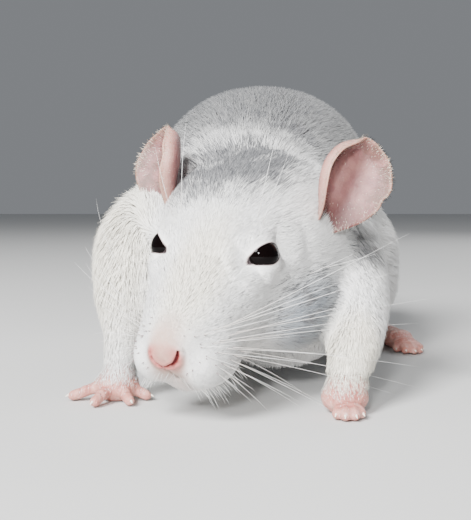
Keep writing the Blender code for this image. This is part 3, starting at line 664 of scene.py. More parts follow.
# The coat: short soft fur that lies back along the body and down the legs. Each tuft is a
# thin closed spindle of a few hairs, rooted in the skin, drawn a little towards its lock.
# A tuft is wider the longer it is, and the fur is longer where the coat is deep.
TUFT_FACES = np.array([(0, 1, 2), (0, 2, 3), (0, 3, 1), (4, 2, 1), (4, 3, 2), (4, 1, 3)])
PATCH_SHAPE = np.array([(0.0, -1.0), (-1.0, 0.0), (0.0, 0.2), (1.0, 0.0), (0.0, 1.0)]) * 0.0015
TUFT_WAIST, TUFT_CROWN, TUFT_ROUND = 0.4, 0.1, 0.45
TUFT_LENGTH, TUFT_LENGTHENING = 1.5, 1.75
TUFT_WIDTH, TUFT_WIDENING = 0.085, 0.026
TUFT_TURN, TUFT_BEND, TUFT_LIFT, TUFT_ROOT = 0.13, 0.06, 0.08, 0.2
LENGTH_SPREAD, WIDTH_SPREAD, LIFT_SPREAD = (0.75, 1.2), (0.75, 1.25), (0.5, 1.0)
LOCK_TUFTS, LOCK_PULL = 8, 0.3


def tuft_mesh(name, roots, up, side, tips, width, uvs, tones, pinks):
    """Spindles from roots to tips as one mesh, each with its root, tone and patch of the map."""
    count = len(roots)
    crown = up * (TUFT_CROWN * np.linalg.norm(tips - roots, axis=1))[:, None]
    waist = roots + TUFT_WAIST * (tips - roots) + crown
    half = 0.5 * width[:, None]
    points = np.stack([roots, waist - side * half, waist + up * (0.8 * half), waist + side * half, tips], 1)
    soft = np.stack([up, unit(up - TUFT_ROUND * side), up, unit(up + TUFT_ROUND * side), up], 1)
    mesh = bpy.data.meshes.new(name)
    index = (np.arange(count)[:, None, None] * 5 + TUFT_FACES[None]).reshape(-1)
    mesh.vertices.add(count * 5)
    move_corners(mesh, points)
    mesh.loops.add(len(index))
    mesh.loops.foreach_set("vertex_index", index.astype(np.int32))
    mesh.polygons.add(len(index) // 3)
    mesh.polygons.foreach_set("loop_start", np.arange(0, len(index), 3, dtype=np.int32))
    mesh.update(calc_edges=True)
    mesh.shade_smooth()
    spread = (uvs[:, None, :] + PATCH_SHAPE[None]).reshape(-1, 2)
    layer = mesh.uv_layers.new(name="OFBake")
    layer.data.foreach_set("uv", spread[index].astype(np.float32).ravel())
    root = mesh.attributes.new("root", "FLOAT_VECTOR", "POINT")
    root.data.foreach_set("vector", np.repeat(roots, 5, axis=0).astype(np.float32).ravel())
    along = np.tile((0.0, TUFT_WAIST, TUFT_WAIST, TUFT_WAIST, 1.0), count)
    keep_values(mesh, tone=np.repeat(tones, 5), thin=np.repeat(pinks, 5), along=along)
    mesh.normals_split_custom_set_from_vertices(soft.reshape(-1, 3).tolist())
    return new_piece(name, mesh)


def scatter(chosen, count, draw):
    """Random places on the chosen faces, closer together where the fur is short."""
    picked = faces[chosen]
    area = np.linalg.norm(facings(places, picked), axis=1)
    area *= (1.0 - 0.4 * thin[picked].mean(1)) / (0.12 + short[picked].mean(1) ** 2)
    which = draw.choice(len(picked), count, p=area / area.sum())
    a, b = draw.random(count), draw.random(count)
    flip = a + b > 1.0
    a[flip], b[flip] = 1.0 - a[flip], 1.0 - b[flip]
    shares = np.column_stack([1.0 - a - b, a, b])
    picked = picked[which]
    return [np.einsum("nk,nk...->n...", shares, values[picked])
            for values in (places, normals, way, depth, short, thin)]


def tufts(name, chosen, count, unwrap, seed):
    """A piece of the coat over the chosen faces of the skin."""
    draw = np.random.default_rng(seed)
    roots, up, lie, deep, shorter, pinks = scatter(chosen, count, draw)
    up = unit(up)
    lie = unit(lie - (lie * up).sum(1)[:, None] * up)
    side = np.cross(up, lie)
    length = (TUFT_LENGTH + TUFT_LENGTHENING * deep) * shorter * draw.uniform(*LENGTH_SPREAD, count) * MM
    width = (TUFT_WIDTH + TUFT_WIDENING * length / MM) * draw.uniform(*WIDTH_SPREAD, count) * MM
    turn = draw.normal(0.0, TUFT_TURN, count)[:, None]
    lie, side = np.cos(turn) * lie + np.sin(turn) * side, np.cos(turn) * side - np.sin(turn) * lie
    height = (TUFT_LIFT + deep * draw.uniform(*LIFT_SPREAD, count)) * shorter * MM
    bend = draw.normal(0.0, TUFT_BEND, count) * length
    tips = roots + lie * length[:, None] + up * height[:, None] + side * bend[:, None]
    locks = draw.choice(count, max(8, count // LOCK_TUFTS), replace=False)
    tree = KDTree(len(locks))
    for number, lock in enumerate(locks):
        tree.insert(roots[lock], number)
    tree.balance()
    mine = locks[[tree.find(root)[1] for root in roots.tolist()]]
    pull = draw.uniform(0.0, LOCK_PULL, count)[:, None]
    tips = tips + pull * (tips[mine] - tips)
    base = roots - up * (TUFT_ROOT * MM)
    obj = tuft_mesh(name, base, up, side, tips, width, unwrap(roots), draw.random(count), pinks)
    obj.data.materials.append(coat_hair)
    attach(obj, "root")


SECOND_GREY, TIP_GREY, ROOT_SHADE_BROWN = (0.20, 0.205, 0.22), (0.56, 0.55, 0.53), (0.50, 0.46, 0.43)
coat_hair, link = material("coat_hair", Roughness=0.55)
tone = link.kept("tone")
grey, *tints = markings(link, link.kept("root", output=1))
is_grey = (grey - tone).rise(-0.1, 0.1)
second = tone.maths("FRACT", tone * 37.7)
hair = is_grey.mix(white_coat(*tints, link.kept("thin")), second.mix(GREY_COAT, SECOND_GREY))
hair = (second * 0.3).mix(hair, TIP_GREY)
# Each hair is painted darker towards its root, as painted shade deep in the coat.
hair = ((1.0 - link.kept("along").rise(0.0, 0.6)) * 0.36).mix(hair, ROOT_SHADE_BROWN)
wear(coat_hair, Base_Color=hair)


def round_axis(coordinates, axis, across, up, centre, span):
    """An unwrap round an axis: how far along it, and the turn about it."""
    along_axis = (coordinates[:, axis] - span[0]) / (span[1] - span[0])
    turn = np.arctan2(coordinates[:, up] - centre[1], coordinates[:, across] - centre[0])
    return np.clip(np.column_stack([along_axis, 0.5 + turn / (2 * math.pi)]), 0.002, 0.998)


HEAD_SPAN, TRUNK_SPAN, LEG_SPAN = (0.0, 60.0), (-0.13, 0.01), (0.0, 0.055)
TRUNK_MIDDLE, LEGS_MIDDLE = (0.0, 0.04), -0.008


def head_unwrap(roots):
    return round_axis(in_head(roots), 1, 0, 2, (0.0, 0.0), HEAD_SPAN)


def trunk_unwrap(roots):
    return round_axis(roots, 1, 0, 2, TRUNK_MIDDLE, TRUNK_SPAN)


def legs_unwrap(roots):
    """Left legs in one half of the map and right ones in the other."""
    uv = np.empty((len(roots), 2))
    for left in (True, False):
        mine = (roots[:, 0] > LEGS_MIDDLE) == left
        if mine.any():
            centre = roots[mine].mean(0)
            part = round_axis(roots[mine], 2, 0, 1, centre[:2], LEG_SPAN)
            uv[mine] = part * (0.5, 1.0) + (0.0 if left else 0.5, 0.0)
    return uv


# Where the fur grows: on all of the skin but its bare places, the nostrils, and what the
# root of the tail covers. The pieces part at lines that the fur hides. MUZZLE_BACK and
# CROWN_HALF are in the head's millimetres, and the other places in metres.
TAIL_NEAR, TAIL_CLEAR = -0.022, 0.2 * MM
RUMP_BACK, RUMP_LOW = -0.009, 0.0145
MUZZLE_BACK, CROWN_HALF, BACK_FACING = 20.0, 5.0, 0.45

middle = places[faces].mean(1)
middle_head = in_head(middle)
middle_normal = unit(normals[faces].sum(1))
face_owner = owner[faces[:, 0]]
of = {name: face_owner == number for number, name in enumerate(FLESH)}
furry = (bare[faces].mean(1) < 0.45) & (nostril[faces].max(1) < 0.05)
tail_copy = merged_copy("tail_1")
tail_solid = BVHTree.FromPolygons(corners(tail_copy.data).tolist(), triangles(tail_copy.data).tolist())
bpy.data.objects.remove(tail_copy)
for number in np.flatnonzero(of["torso"] & (middle[:, 1] > TAIL_NEAR)):
    spot = Vector(middle[number].tolist())
    surface, facing, _, _ = tail_solid.find_nearest(spot)
    furry[number] &= (spot - surface).dot(facing) > TAIL_CLEAR
furry &= ~(of["torso"] & (middle[:, 1] > RUMP_BACK) & (middle[:, 2] < RUMP_LOW))
muzzle = of["head"] & (middle_head[:, 1] < MUZZLE_BACK)
rest = of["head"] & ~muzzle
left, right = middle_head[:, 0] > CROWN_HALF, middle_head[:, 0] < -CROWN_HALF
back = of["torso"] & (middle_normal[:, 2] > BACK_FACING)
flanks = of["torso"] & (middle_normal[:, 2] <= BACK_FACING)
COAT = (
    ("coat_muzzle", muzzle, 29000, head_unwrap),
    ("coat_cheek_L", rest & left, 29000, head_unwrap),
    ("coat_cheek_R", rest & right, 19000, head_unwrap),
    ("coat_crown", rest & ~left & ~right, 24000, head_unwrap),
    ("coat_neck", of["neck"], 21000, trunk_unwrap),
    ("coat_back", back, 27000, trunk_unwrap),
    ("coat_flank_L", flanks & (middle[:, 0] > 0), 21500, trunk_unwrap),
    ("coat_flank_R", flanks & (middle[:, 0] <= 0), 21000, trunk_unwrap),
    ("coat_forelegs", of["foreleg_L"] | of["foreleg_R"], 26000, legs_unwrap),
    ("coat_hindlegs", of["hindleg_L"] | of["hindleg_R"], 19000, legs_unwrap),
)
for seed, (name, chosen, count, unwrap) in enumerate(COAT):
    tufts(name, chosen & furry, count, unwrap, seed)

# The whiskers: long stiff hairs in rows on both pads, a few over each eye and on each cheek,
# and short curved ones that hang from the lips. Each is a tapering hair set in its follicle.
# WHISKER_SIDE and WHISKER_LOW are how far out and how low a tip may reach. The rows of a pad
# start PAD_FRONT back from the tip of the nose, and the first one is PAD_TOP above it.
WHISKER_SIDE, WHISKER_LOW = 0.0575, 0.0012
WHISKER_ROWS = WHISKER_COLUMNS = 5
PAD_SIDE, PAD_FRONT, PAD_TOP, PAD_GAP, PAD_SLOPE = 8.0, 4.2, 2.6, 1.75, 0.25
WHISKER_LENGTH, WHISKER_LONGER, WHISKER_THICKNESS = 9.0, 9.5, 0.056 * MM
FACE_WHISKERS = (((9.3, 29.0, 11.8), (0.3, 0.2, 0.9), 17.0), ((8.2, 29.8, 12.8), (0.1, 0.45, 0.85), 21.0),
                 ((19.0, 33.0, 2.0), (0.8, 0.3, 0.35), 12.0), ((18.5, 36.0, 0.5), (0.8, 0.45, 0.1), 13.0))
FOLLICLES = ((3.4, 3.6, 3.4), (3.8, 6.1, 4.6), (3.8, 5.0, 4.0), (5.7, 4.7, 1.3), (7.0, 3.8, -1.1),
             (7.9, 5.5, -0.9), (6.2, 2.9, -1.4), (5.1, 1.9, -2.6), (3.9, 1.7, -3.3))
FOLLICLE_HEIGHT, FOLLICLE_THICKNESS = 0.75 * MM, 0.13 * MM
LIP_HAIRS, LIP_THICKNESS = 40, 0.05 * MM


def hairs(name, roots, ways, lengths, bends, thickness, steps, sides=5, waist=0.35):
    """Tapering hairs as one mesh: each leaves its root its own way and then bends over."""
    t = np.linspace(0.0, 1.0, steps)
    straight, bowed = t[:, None] * ways[:, None], (t ** 2)[:, None] * bends[:, None]
    path = roots[:, None] + lengths[:, None, None] * (straight + bowed)
    along = unit(np.gradient(path, axis=1))
    across = unit(np.cross(along, (0.13, 0.21, 1.0)))
    up = np.cross(along, across)
    flare = 1.0 + waist * np.exp(-t * lengths.mean() / (0.5 * MM))
    radius = thickness * ((1.0 - t) ** 0.75 * 0.88 + 0.12) * flare
    turns = np.arange(sides) * 2 * math.pi / sides
    rings = path[:, :, None] + radius[None, :, None, None] * (
        np.cos(turns)[:, None] * across[:, :, None] + np.sin(turns)[:, None] * up[:, :, None])
    wall = []
    for hair in range(len(roots)):
        start = hair * steps * sides
        wall.append(tuple(start + s for s in reversed(range(sides))))
        wall.append(tuple(start + (steps - 1) * sides + s for s in range(sides)))
        for r in range(steps - 1):
            low = start + r * sides
            for s in range(sides):
                s2 = (s + 1) % sides
                wall.append((low + s, low + s2, low + sides + s2, low + sides + s))
    mesh = bpy.data.meshes.new(name)
    mesh.from_pydata(rings.reshape(-1, 3).tolist(), [], wall)
    mesh.shade_smooth()
    keep_values(mesh, along=np.repeat(np.tile(t, len(roots)), sides))
    return new_piece(name, mesh)


skin_tree = BVHTree.FromPolygons(places.tolist(), faces.tolist())


def on_face(head_place, outward):
    """The place on the face's skin under a place in the head's millimetres."""
    start = Vector(from_head(np.asarray(head_place) + 8.0 * np.asarray(outward)).tolist())
    ray = Vector((HEAD_AXES @ -np.asarray(outward, float)).tolist())
    hit = skin_tree.ray_cast(start, ray)[0]
    if hit is None:
        hit = skin_tree.find_nearest(Vector(from_head(head_place).tolist()))[0]
    return np.array(hit)


whisker_hair, link = material("whisker_hair", Roughness=0.35)
along = link.kept("along")
colour = along.rise(0.0, 0.5).mix((0.60, 0.55, 0.50), (0.93, 0.92, 0.90))
wear(whisker_hair, Base_Color=(1.0 - along.rise(0.0, 0.03)).mix(colour, (0.16, 0.13, 0.12)))
lip_hair, link = material("lip_hair", Roughness=0.45)
wear(lip_hair, Base_Color=link.kept("along").rise(0.0, 1.0).mix((0.82, 0.80, 0.76), (0.95, 0.95, 0.93)))
follicle_dark, link = material("follicle_dark", Roughness=0.6)
wear(follicle_dark, Base_Color=link.place().noise(900.0).mix((0.16, 0.12, 0.12), (0.30, 0.24, 0.23)))

skin_near = KDTree(len(places))
for number, place in enumerate(places.tolist()):
    skin_near.insert(place, number)
skin_near.balance()

draw = np.random.default_rng(50)
for side, name in ((1, "L"), (-1, "R")):
    roots, ways, lengths, bends = [], [], [], []
    for row in range(WHISKER_ROWS):
        for column in range(WHISKER_COLUMNS):
            back = PAD_FRONT + PAD_GAP * column + draw.uniform(-0.3, 0.3)
            up = PAD_TOP - PAD_GAP * row - PAD_SLOPE * column + draw.uniform(-0.25, 0.25)
            roots.append(on_face((side * PAD_SIDE, back, up), (side, -0.1, 0.0)))
            way_out = np.array((side, 0.05 + 0.17 * column, 0.34 - 0.3 * row)) + draw.normal(0.0, 0.07, 3)
            ways.append(unit(way_out))
            lengths.append((WHISKER_LENGTH + WHISKER_LONGER * column) * draw.uniform(0.85, 1.1) * MM)
            bends.append(np.array((-0.08 * side, 0.22, -0.12 - 0.05 * row)) * draw.uniform(0.5, 1.3))
    for place, way_out, length in FACE_WHISKERS:
        way_out = unit(np.array(way_out) * (side, 1, 1))
        roots.append(on_face(np.array(place) * (side, 1, 1), way_out))
        ways.append(way_out)
        lengths.append(length * MM)
        bends.append(np.array((0.0, 0.15, -0.05)))
    roots, lengths = np.array(roots), np.array(lengths)
    ways = np.array(ways) @ HEAD_AXES.T
    bends = np.array(bends) @ HEAD_AXES.T
    tips = roots + lengths[:, None] * (ways + bends)
    room_out = (WHISKER_SIDE - np.abs(roots[:, 0])) / np.maximum(np.abs(tips - roots)[:, 0], 1e-6)
    room_down = (roots[:, 2] - WHISKER_LOW) / np.maximum(roots[:, 2] - tips[:, 2], 1e-6)
    room_down = np.where(tips[:, 2] < WHISKER_LOW, room_down, 1.0)
    lengths = lengths * np.minimum(np.minimum(room_out, room_down), 1.0)
    whiskers = hairs("whiskers_" + name, roots - ways * (0.4 * MM), ways, lengths, bends,
                     WHISKER_THICKNESS, 14, waist=0.8)
    whiskers.data.materials.append(whisker_hair)
    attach(whiskers, "root")

    dots = [on_face((side * x, y, z), (side, -0.2, 0.0)) for x, y, z in FOLLICLES]
    dots = np.vstack([dots, roots[:WHISKER_ROWS * WHISKER_COLUMNS]])
    dot_ways = np.array([normals[skin_near.find(dot)[1]] for dot in dots.tolist()])
    heights, upright = np.full(len(dots), FOLLICLE_HEIGHT), np.zeros((len(dots), 3))
    follicles = hairs("follicles_" + name, dots + dot_ways * (0.05 * MM), dot_ways + (0.0, 0.6, -0.3),
                      heights, upright, FOLLICLE_THICKNESS, 4, 6, 0.0)
    follicles.data.materials.append(follicle_dark)
    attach(follicles, "root")

    y = draw.uniform(2.0, 11.0, LIP_HAIRS)
    x = side * np.clip(1.2 + 0.75 * (y - 1.5) + draw.normal(0.0, 0.6, LIP_HAIRS), 0.6, 8.5)
    z = -5.2 - 0.12 * y + draw.normal(0.0, 0.5, LIP_HAIRS)
    out = np.column_stack([np.full(LIP_HAIRS, side * 0.55), -0.45 + 0.05 * y, np.full(LIP_HAIRS, -0.65)])
    out = unit(out)
    roots = np.array([on_face(place, way_out) for place, way_out in zip(np.column_stack([x, y, z]), out)])
    ways = unit(out + draw.normal(0.0, 0.16, (LIP_HAIRS, 3)) + (0.0, 0.35, -0.1)) @ HEAD_AXES.T
    bends = np.column_stack([np.zeros(LIP_HAIRS), draw.uniform(0.0, 0.3, LIP_HAIRS),
                             draw.uniform(-0.45, -0.1, LIP_HAIRS)])
    lengths = draw.uniform(2.0, 4.2, LIP_HAIRS) * MM
    lips = hairs("lip_hairs_" + name, roots - ways * (0.2 * MM), ways, lengths, bends, LIP_THICKNESS, 7, 4)
    lips.data.materials.append(lip_hair)
    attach(lips, "root")

# The eyes: wet black balls set deep between the lids. The front of each is so smooth that
# it shows the lamps as sharp points of light.
eye_black, link = material("eye_black", Base_Color=(0.002, 0.001, 0.001, 1.0), IOR=1.3,
                           Specular_IOR_Level=0.22)
wear(eye_black, Roughness=link.place().noise(800.0) * 0.05 + 0.03)
for side, name in ((1, "L"), (-1, "R")):
    centre, axes = eye_frame(side)
    bpy.ops.object.select_all(action="DESELECT")
    bpy.ops.mesh.primitive_uv_sphere_add(segments=48, ring_count=32, radius=EYE_BALL * HEAD_SIZE)
    ball = bpy.context.active_object
    ball.name = ball.data.name = "eyeball_" + name
    axis = Vector((HEAD_AXES @ axes[2]).tolist())
    turn = axis.to_track_quat("Z", "Y").to_matrix().to_4x4()
    ball.data.transform(Matrix.Translation(from_head(centre).tolist()) @ turn)
    ball.data.shade_smooth()
    ball.data.materials.append(eye_black)
    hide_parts("eye_" + name)
    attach(ball, "root")

# The ears: thin cups of bare skin, each one sheet with a rolled front edge and soft ridges
# inside, funnelled into the fur of the head. Fine golden and pale hairs stand on both faces,
# most of them near the rim. Sizes are in the head's own millimetres.
EAR_FACING = {1: (0.59, -0.67, 0.44), -1: (-0.52, -0.73, 0.44)}
EAR_LENGTH, EAR_WIDTH = 19.0, 16.3
EAR_THICKNESS, EAR_RIM = 0.7, 0.5
EAR_CUP, EAR_FUNNEL, EAR_SETBACK = 4.6, 1.1, 1.6
EAR_MIDDLE, EAR_ABOVE, EAR_BELOW, EAR_NARROWING = 0.52, 0.46, 0.66, 0.38
EAR_CURL, EAR_FOLD, EAR_ROLL, EAR_ROLL_TURN = 1.6, 1.2, 1.5, math.radians(125.0)
EAR_NICK, EAR_WAVE, EAR_RIPPLE = 0.05, 0.008, 0.1
EAR_RIDGES = ((0.55, -0.6, 1.5, 9.0, 5.0), (0.4, -3.8, 0.9, 6.0, 3.0))
EAR_SPOKES, EAR_RINGS, EAR_HAIRS = 120, 36, 1500
EAR_MAUVE, EAR_DARK, EAR_VEIN = (0.36, 0.165, 0.15), (0.24, 0.095, 0.095), (0.17, 0.05, 0.055)
EAR_PALE, EAR_BROWN_AND_SHADE, EAR_EDGE = (0.50, 0.275, 0.225), (0.115, 0.055, 0.04), (0.58, 0.36, 0.26)
EAR_HOLLOW_SHADE = (0.10, 0.022, 0.02)


def ear_places(radius, turn, side):
    """Places on the ear's middle surface, from its centre (0) to its rim (1)."""
    half, up = EAR_WIDTH / 2, np.sin(turn)
    nick = EAR_NICK * bell(np.arctan2(up, side * np.cos(turn)) + 0.15, 0.09) * (side > 0)
    radius = radius * (1.0 - nick * step(radius, 0.7, 1.0)) + EAR_WAVE * radius * np.sin(9.0 * turn + side)
    x = radius * half * np.cos(turn) * (1.0 - EAR_NARROWING * np.maximum(0.0, -up) ** 2)
    y = EAR_LENGTH * (EAR_MIDDLE + radius * up * np.where(up > 0, EAR_ABOVE, EAR_BELOW))
    lift = EAR_CUP * (x / half) ** 2 * (1.0 + EAR_FUNNEL * np.maximum(0.0, 0.5 - y / EAR_LENGTH))
    lift = lift + EAR_CURL * np.maximum(0.0, radius - 0.7) / 0.3 * np.maximum(0.0, up) ** 2
    inner = np.maximum(0.0, -side * np.cos(turn))
    lift = lift + EAR_FOLD * inner * np.maximum(0.0, radius - 0.6) / 0.4
    for height, across, half_across, along, half_along in EAR_RIDGES:
        lift = lift + height * bell(side * x - across, half_across) * bell(y - along, half_along)
    lift = lift + EAR_RIPPLE * radius ** 2 * np.sin(5.0 * turn + 1.3 * side)
    roll = step(radius, 0.76, 1.02) * step(inner + 0.35 * np.maximum(0.0, up), 0.15, 0.95)
    bent = roll * EAR_ROLL_TURN
    x = x + side * EAR_ROLL * (1.0 - np.cos(bent))
    y = y - 0.5 * EAR_ROLL * (1.0 - np.cos(bent)) * np.maximum(0.0, up)
    return np.stack([x, y, lift + 0.8 * np.sin(bent) - EAR_SETBACK], axis=-1)


def ear_axes(side):
    """The ear's axes in the head: across, up to its tip, and out of its hollow."""
    up = unit(np.array(EAR_AXIS[side]))
    facing = np.array(EAR_FACING[side])
    facing = unit(facing - facing @ up * up)
    return np.array((np.cross(up, facing), up, facing))


def ear_sheet(side, name):
    """The ear as a closed sheet, and for each of its corners the radius, turn and face."""
    ring = np.arange(1, EAR_RINGS + 1)[:, None] / EAR_RINGS
    spoke = np.arange(EAR_SPOKES)[None, :] * 2 * math.pi / EAR_SPOKES
    ring, spoke = np.broadcast_arrays(ring, spoke)
    centre = ear_places(ring, spoke, side)
    out = ear_places(ring + 0.01, spoke, side) - ear_places(ring - 0.01, spoke, side)
    along_rim = ear_places(ring, spoke + 0.01, side) - ear_places(ring, spoke - 0.01, side)
    normal = unit(np.cross(out, along_rim))
    thick = EAR_THICKNESS / 2 * (1.0 - (1.0 - EAR_RIM) * ring ** 4)
    middle_point = ear_places(np.zeros(1), np.zeros(1), side)
    rows, wall = [], []
    for face in (1, -1):
        rows.append(middle_point + (0.0, 0.0, face * EAR_THICKNESS / 2))
        rows.append((centre + face * normal * thick[..., None]).reshape(-1, 3))
    points = np.vstack(rows)
    each = 1 + EAR_RINGS * EAR_SPOKES
    last = 1 + (EAR_RINGS - 1) * EAR_SPOKES
    for s in range(EAR_SPOKES):
        t = (s + 1) % EAR_SPOKES
        for face, base in ((1, 0), (-1, each)):
            wall.append((base, base + 1 + s, base + 1 + t)[::face])
            for r in range(EAR_RINGS - 1):
                a, b = base + 1 + r * EAR_SPOKES, base + 1 + (r + 1) * EAR_SPOKES
                wall.append((a + s, b + s, b + t, a + t)[::face])
        wall.append((last + s, each + last + s, each + last + t, last + t))
    mesh = bpy.data.meshes.new(name)
    in_place = from_head(np.array(EAR_ROOT[side]) + points @ ear_axes(side))
    mesh.from_pydata(in_place.tolist(), [], wall)
    shape = bmesh.new()
    shape.from_mesh(mesh)
    bmesh.ops.recalc_face_normals(shape, faces=shape.faces)
    shape.to_mesh(mesh)
    shape.free()
    mesh.shade_smooth()
    radius_of = np.concatenate([[0.0], ring.ravel()] * 2)
    turn_of = np.concatenate([[0.0], spoke.ravel()] * 2)
    return mesh, points, radius_of, turn_of, np.arange(len(points)) < each


ear_skin, link = material("ear_skin", Roughness=0.5, Subsurface_Weight=0.2, Subsurface_Scale=0.0015,
                          Subsurface_Radius=(1.0, 0.35, 0.25))
place = link.place()
warp = place.noise(180.0, 3.0)
colour = place.noise(300.0, 4.0).rise(0.32, 0.68).mix(EAR_MAUVE, EAR_DARK)
vein = 1.0 - warp.maths("ABSOLUTE", warp - 0.5).rise(0.0, 0.03)
colour = (vein * 0.3).mix(colour, EAR_VEIN)
colour = link.kept("rolled").mix(colour, EAR_PALE)
# Brown on the outer part of each ear, and painted shade over the inside of the ears.
brown_and_shade_share = link.kept("tanned") * place.noise(420.0, 3.0).rise(0.25, 0.6) * 0.9
colour = brown_and_shade_share.mix(colour, EAR_BROWN_AND_SHADE)
colour = (link.kept("edge") * 0.35).mix(colour, EAR_EDGE)
# Painted dark shade in the hollows: under the rolled fold, at the ear's base and in a notch near it.
colour = link.kept("hollow").mix(colour, EAR_HOLLOW_SHADE)
grain = place.noise(2400.0, 3.0) + place.noise(500.0)
wear(ear_skin, Base_Color=colour, Normal=grain.bump(0.45, 0.0002))
ear_down, link = material("ear_down", Roughness=0.5)
wear(ear_down, Base_Color=link.kept("tone").rise(0.2, 0.8).mix((0.30, 0.19, 0.12), (0.80, 0.72, 0.60)))

for side, name in ((1, "L"), (-1, "R")):
    mesh, points, radius_of, turn_of, inside = ear_sheet(side, "ear_sheet_" + name)
    inner, up = np.maximum(0.0, -side * np.cos(turn_of)), np.sin(turn_of)
    # Where painted shade falls in the ear: under the rolled fold, at its base and in a notch.
    under_roll_shade = bell(radius_of - 0.66, 0.21) * inner * step(up, -0.5, 0.4)
    notch_shade = bell(points[:, 0] * side + 5.0, 1.0) * bell(points[:, 1] - 4.5, 1.3)
    ear_mouth_shade = 1.0 - step(points[:, 1], 0.5, 7.0)
    deep = np.maximum.reduce([ear_mouth_shade, np.minimum(1.0, 1.4 * under_roll_shade), 0.8 * notch_shade])
    rolled = step(radius_of, 0.8, 0.92) * step(inner + 0.4 * np.maximum(0.0, up), 0.25, 0.7)
    tanned = step(radius_of, 0.45, 0.95) * step(side * np.cos(turn_of) + 0.5 * up, 0.1, 0.8)
    # Painted shade over the inside of the ear, strong on the right ear and faint on the left.
    tanned = np.maximum(tanned, (0.2 if side > 0 else 0.8) * inside * (1.0 - rolled))
    keep_values(mesh, hollow=deep * inside, edge=step(radius_of, 0.94, 1.0), rolled=rolled, tanned=tanned)
    ear = new_piece("ear_sheet_" + name, mesh)
    mesh.materials.append(ear_skin)
    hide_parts("ear_" + name)
    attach(ear, "root")

    draw = np.random.default_rng(70 + side)
    reach = np.clip(1.0 - draw.exponential(0.13, EAR_HAIRS), 0.1, 1.0)
    around = draw.uniform(0.0, 2 * math.pi, EAR_HAIRS)
    face = draw.choice((-1.0, 1.0), EAR_HAIRS)[:, None]
    rooted = ear_places(reach, around, side)
    outward = unit(ear_places(reach + 0.02, around, side) - rooted)
    round_rim = ear_places(reach, around + 0.02, side) - rooted
    up = face * unit(np.cross(outward, round_rim))
    axes = ear_axes(side) @ HEAD_AXES.T
    roots = from_head(np.array(EAR_ROOT[side]) + (rooted + up * 0.16) @ ear_axes(side))
    lie = unit(outward + 0.5 * up + draw.normal(0.0, 0.2, (EAR_HAIRS, 3))) @ axes
    up = up @ axes
    side_way = unit(np.cross(up, lie))
    tips = roots + lie * (draw.uniform(0.5, 1.15, EAR_HAIRS) * MM)[:, None]
    uvs = np.clip(np.column_stack([reach * 0.9 + 0.05, around / (2 * math.pi)]), 0.002, 0.998)
    down = tuft_mesh("ear_hairs_" + name, roots, up, side_way, tips, np.full(EAR_HAIRS, 0.06 * MM), uvs,
                     draw.random(EAR_HAIRS), np.zeros(EAR_HAIRS))
    down.data.materials.append(ear_down)
    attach(down, "root")

# The paws and the feet: bare pink skin over toes, pads and knuckles, with a small horn claw
# at the end of each toe. They run up inside the fur of the wrists and ankles. A forepaw has
# its palm's place, and each toe the way that it points, in degrees, and its length. A hind
# foot has its heel and its ball. Places are in millimetres from the floor under the nose.
UNDER_NOSE = np.array((-23.05, -151.55, 0.0))
FOREPAW_DIGITS = {"forepaw_L": ((36.6, 16.0), ((20, 6.6), (6, 7.6), (-9, 7.4), (-24, 6.2))),
                  "forepaw_R": ((-12.2, 28.8), ((82, 9.6), (25, 8.8), (-28, 7.6), (-80, 6.8)))}
HINDFOOT_BALLS = {"hindfoot_L": ((58.6, 121.0), (63.0, 99.5)), "hindfoot_R": ((-13.4, 126.0), (-15.8, 104.5))}
HINDFOOT_TOES = ((-26, 8.0), (-12, 10.4), (0, 11.2), (12, 10.4), (27, 7.6))
FOREPAW_TOE, HINDFOOT_TOE = 1.35, 1.45
KNUCKLES, CREASE_WIDTH, CREASE_DEPTH = (0.34, 0.42, 0.6, 0.68, 0.84), 0.22, 0.13 * MM
WRIST_BAND, WRIST_TOP, WRIST_RISE, WRIST_DRAWN_IN = 1.6 * MM, 0.6 * MM, 1.5 * MM, 0.3
PAW_HAIRS, PAW_HAIR_WIDTH = 2000, 0.085 * MM
CLAW_LENGTH, CLAW_THICKNESS, CLAW_CURVE = 2.0 * MM, 0.5 * MM, (0, 0, -0.42)
PAW_PINK, PAW_PALE, PAW_CREASE = (0.52, 0.215, 0.175), (0.66, 0.36, 0.30), (0.40, 0.15, 0.13)
KNUCKLE_SHADE_RED = (0.34, 0.09, 0.08)

toes = {name: [(palm, turn, reach, FOREPAW_TOE) for turn, reach in digits]
        for name, (palm, digits) in FOREPAW_DIGITS.items()}
for name, (heel, ball) in HINDFOOT_BALLS.items():
    turn = math.degrees(math.atan2(heel[0] - ball[0], heel[1] - ball[1]))
    toes[name] = [(ball, turn + spread, reach, HINDFOOT_TOE) for spread, reach in HINDFOOT_TOES]

paw_skin, link = material("paw_skin", Roughness=0.45, Subsurface_Weight=0.15, Subsurface_Scale=0.0012)
place = link.place()
colour = place.noise(420.0, 3.0).rise(0.32, 0.7).mix(PAW_PINK, PAW_PALE)
creases = place.cells(1900.0)
colour = ((1.0 - creases.rise(0.0, 0.14)) * 0.25).mix(colour, PAW_CREASE)
# Painted dark red shade in the creases at the knuckles.
colour = (link.kept("knuckle") * 0.6).mix(colour, KNUCKLE_SHADE_RED)
relief = creases.rise(0.0, 0.3) + place.noise(3000.0)
wear(paw_skin, Base_Color=colour, Normal=relief.bump(0.35, 0.00015))
claw_horn, link = material("claw_horn", Roughness=0.28)
wear(claw_horn, Base_Color=link.kept("along").rise(0.1, 0.7).mix((0.72, 0.42, 0.36), (0.86, 0.80, 0.70)))

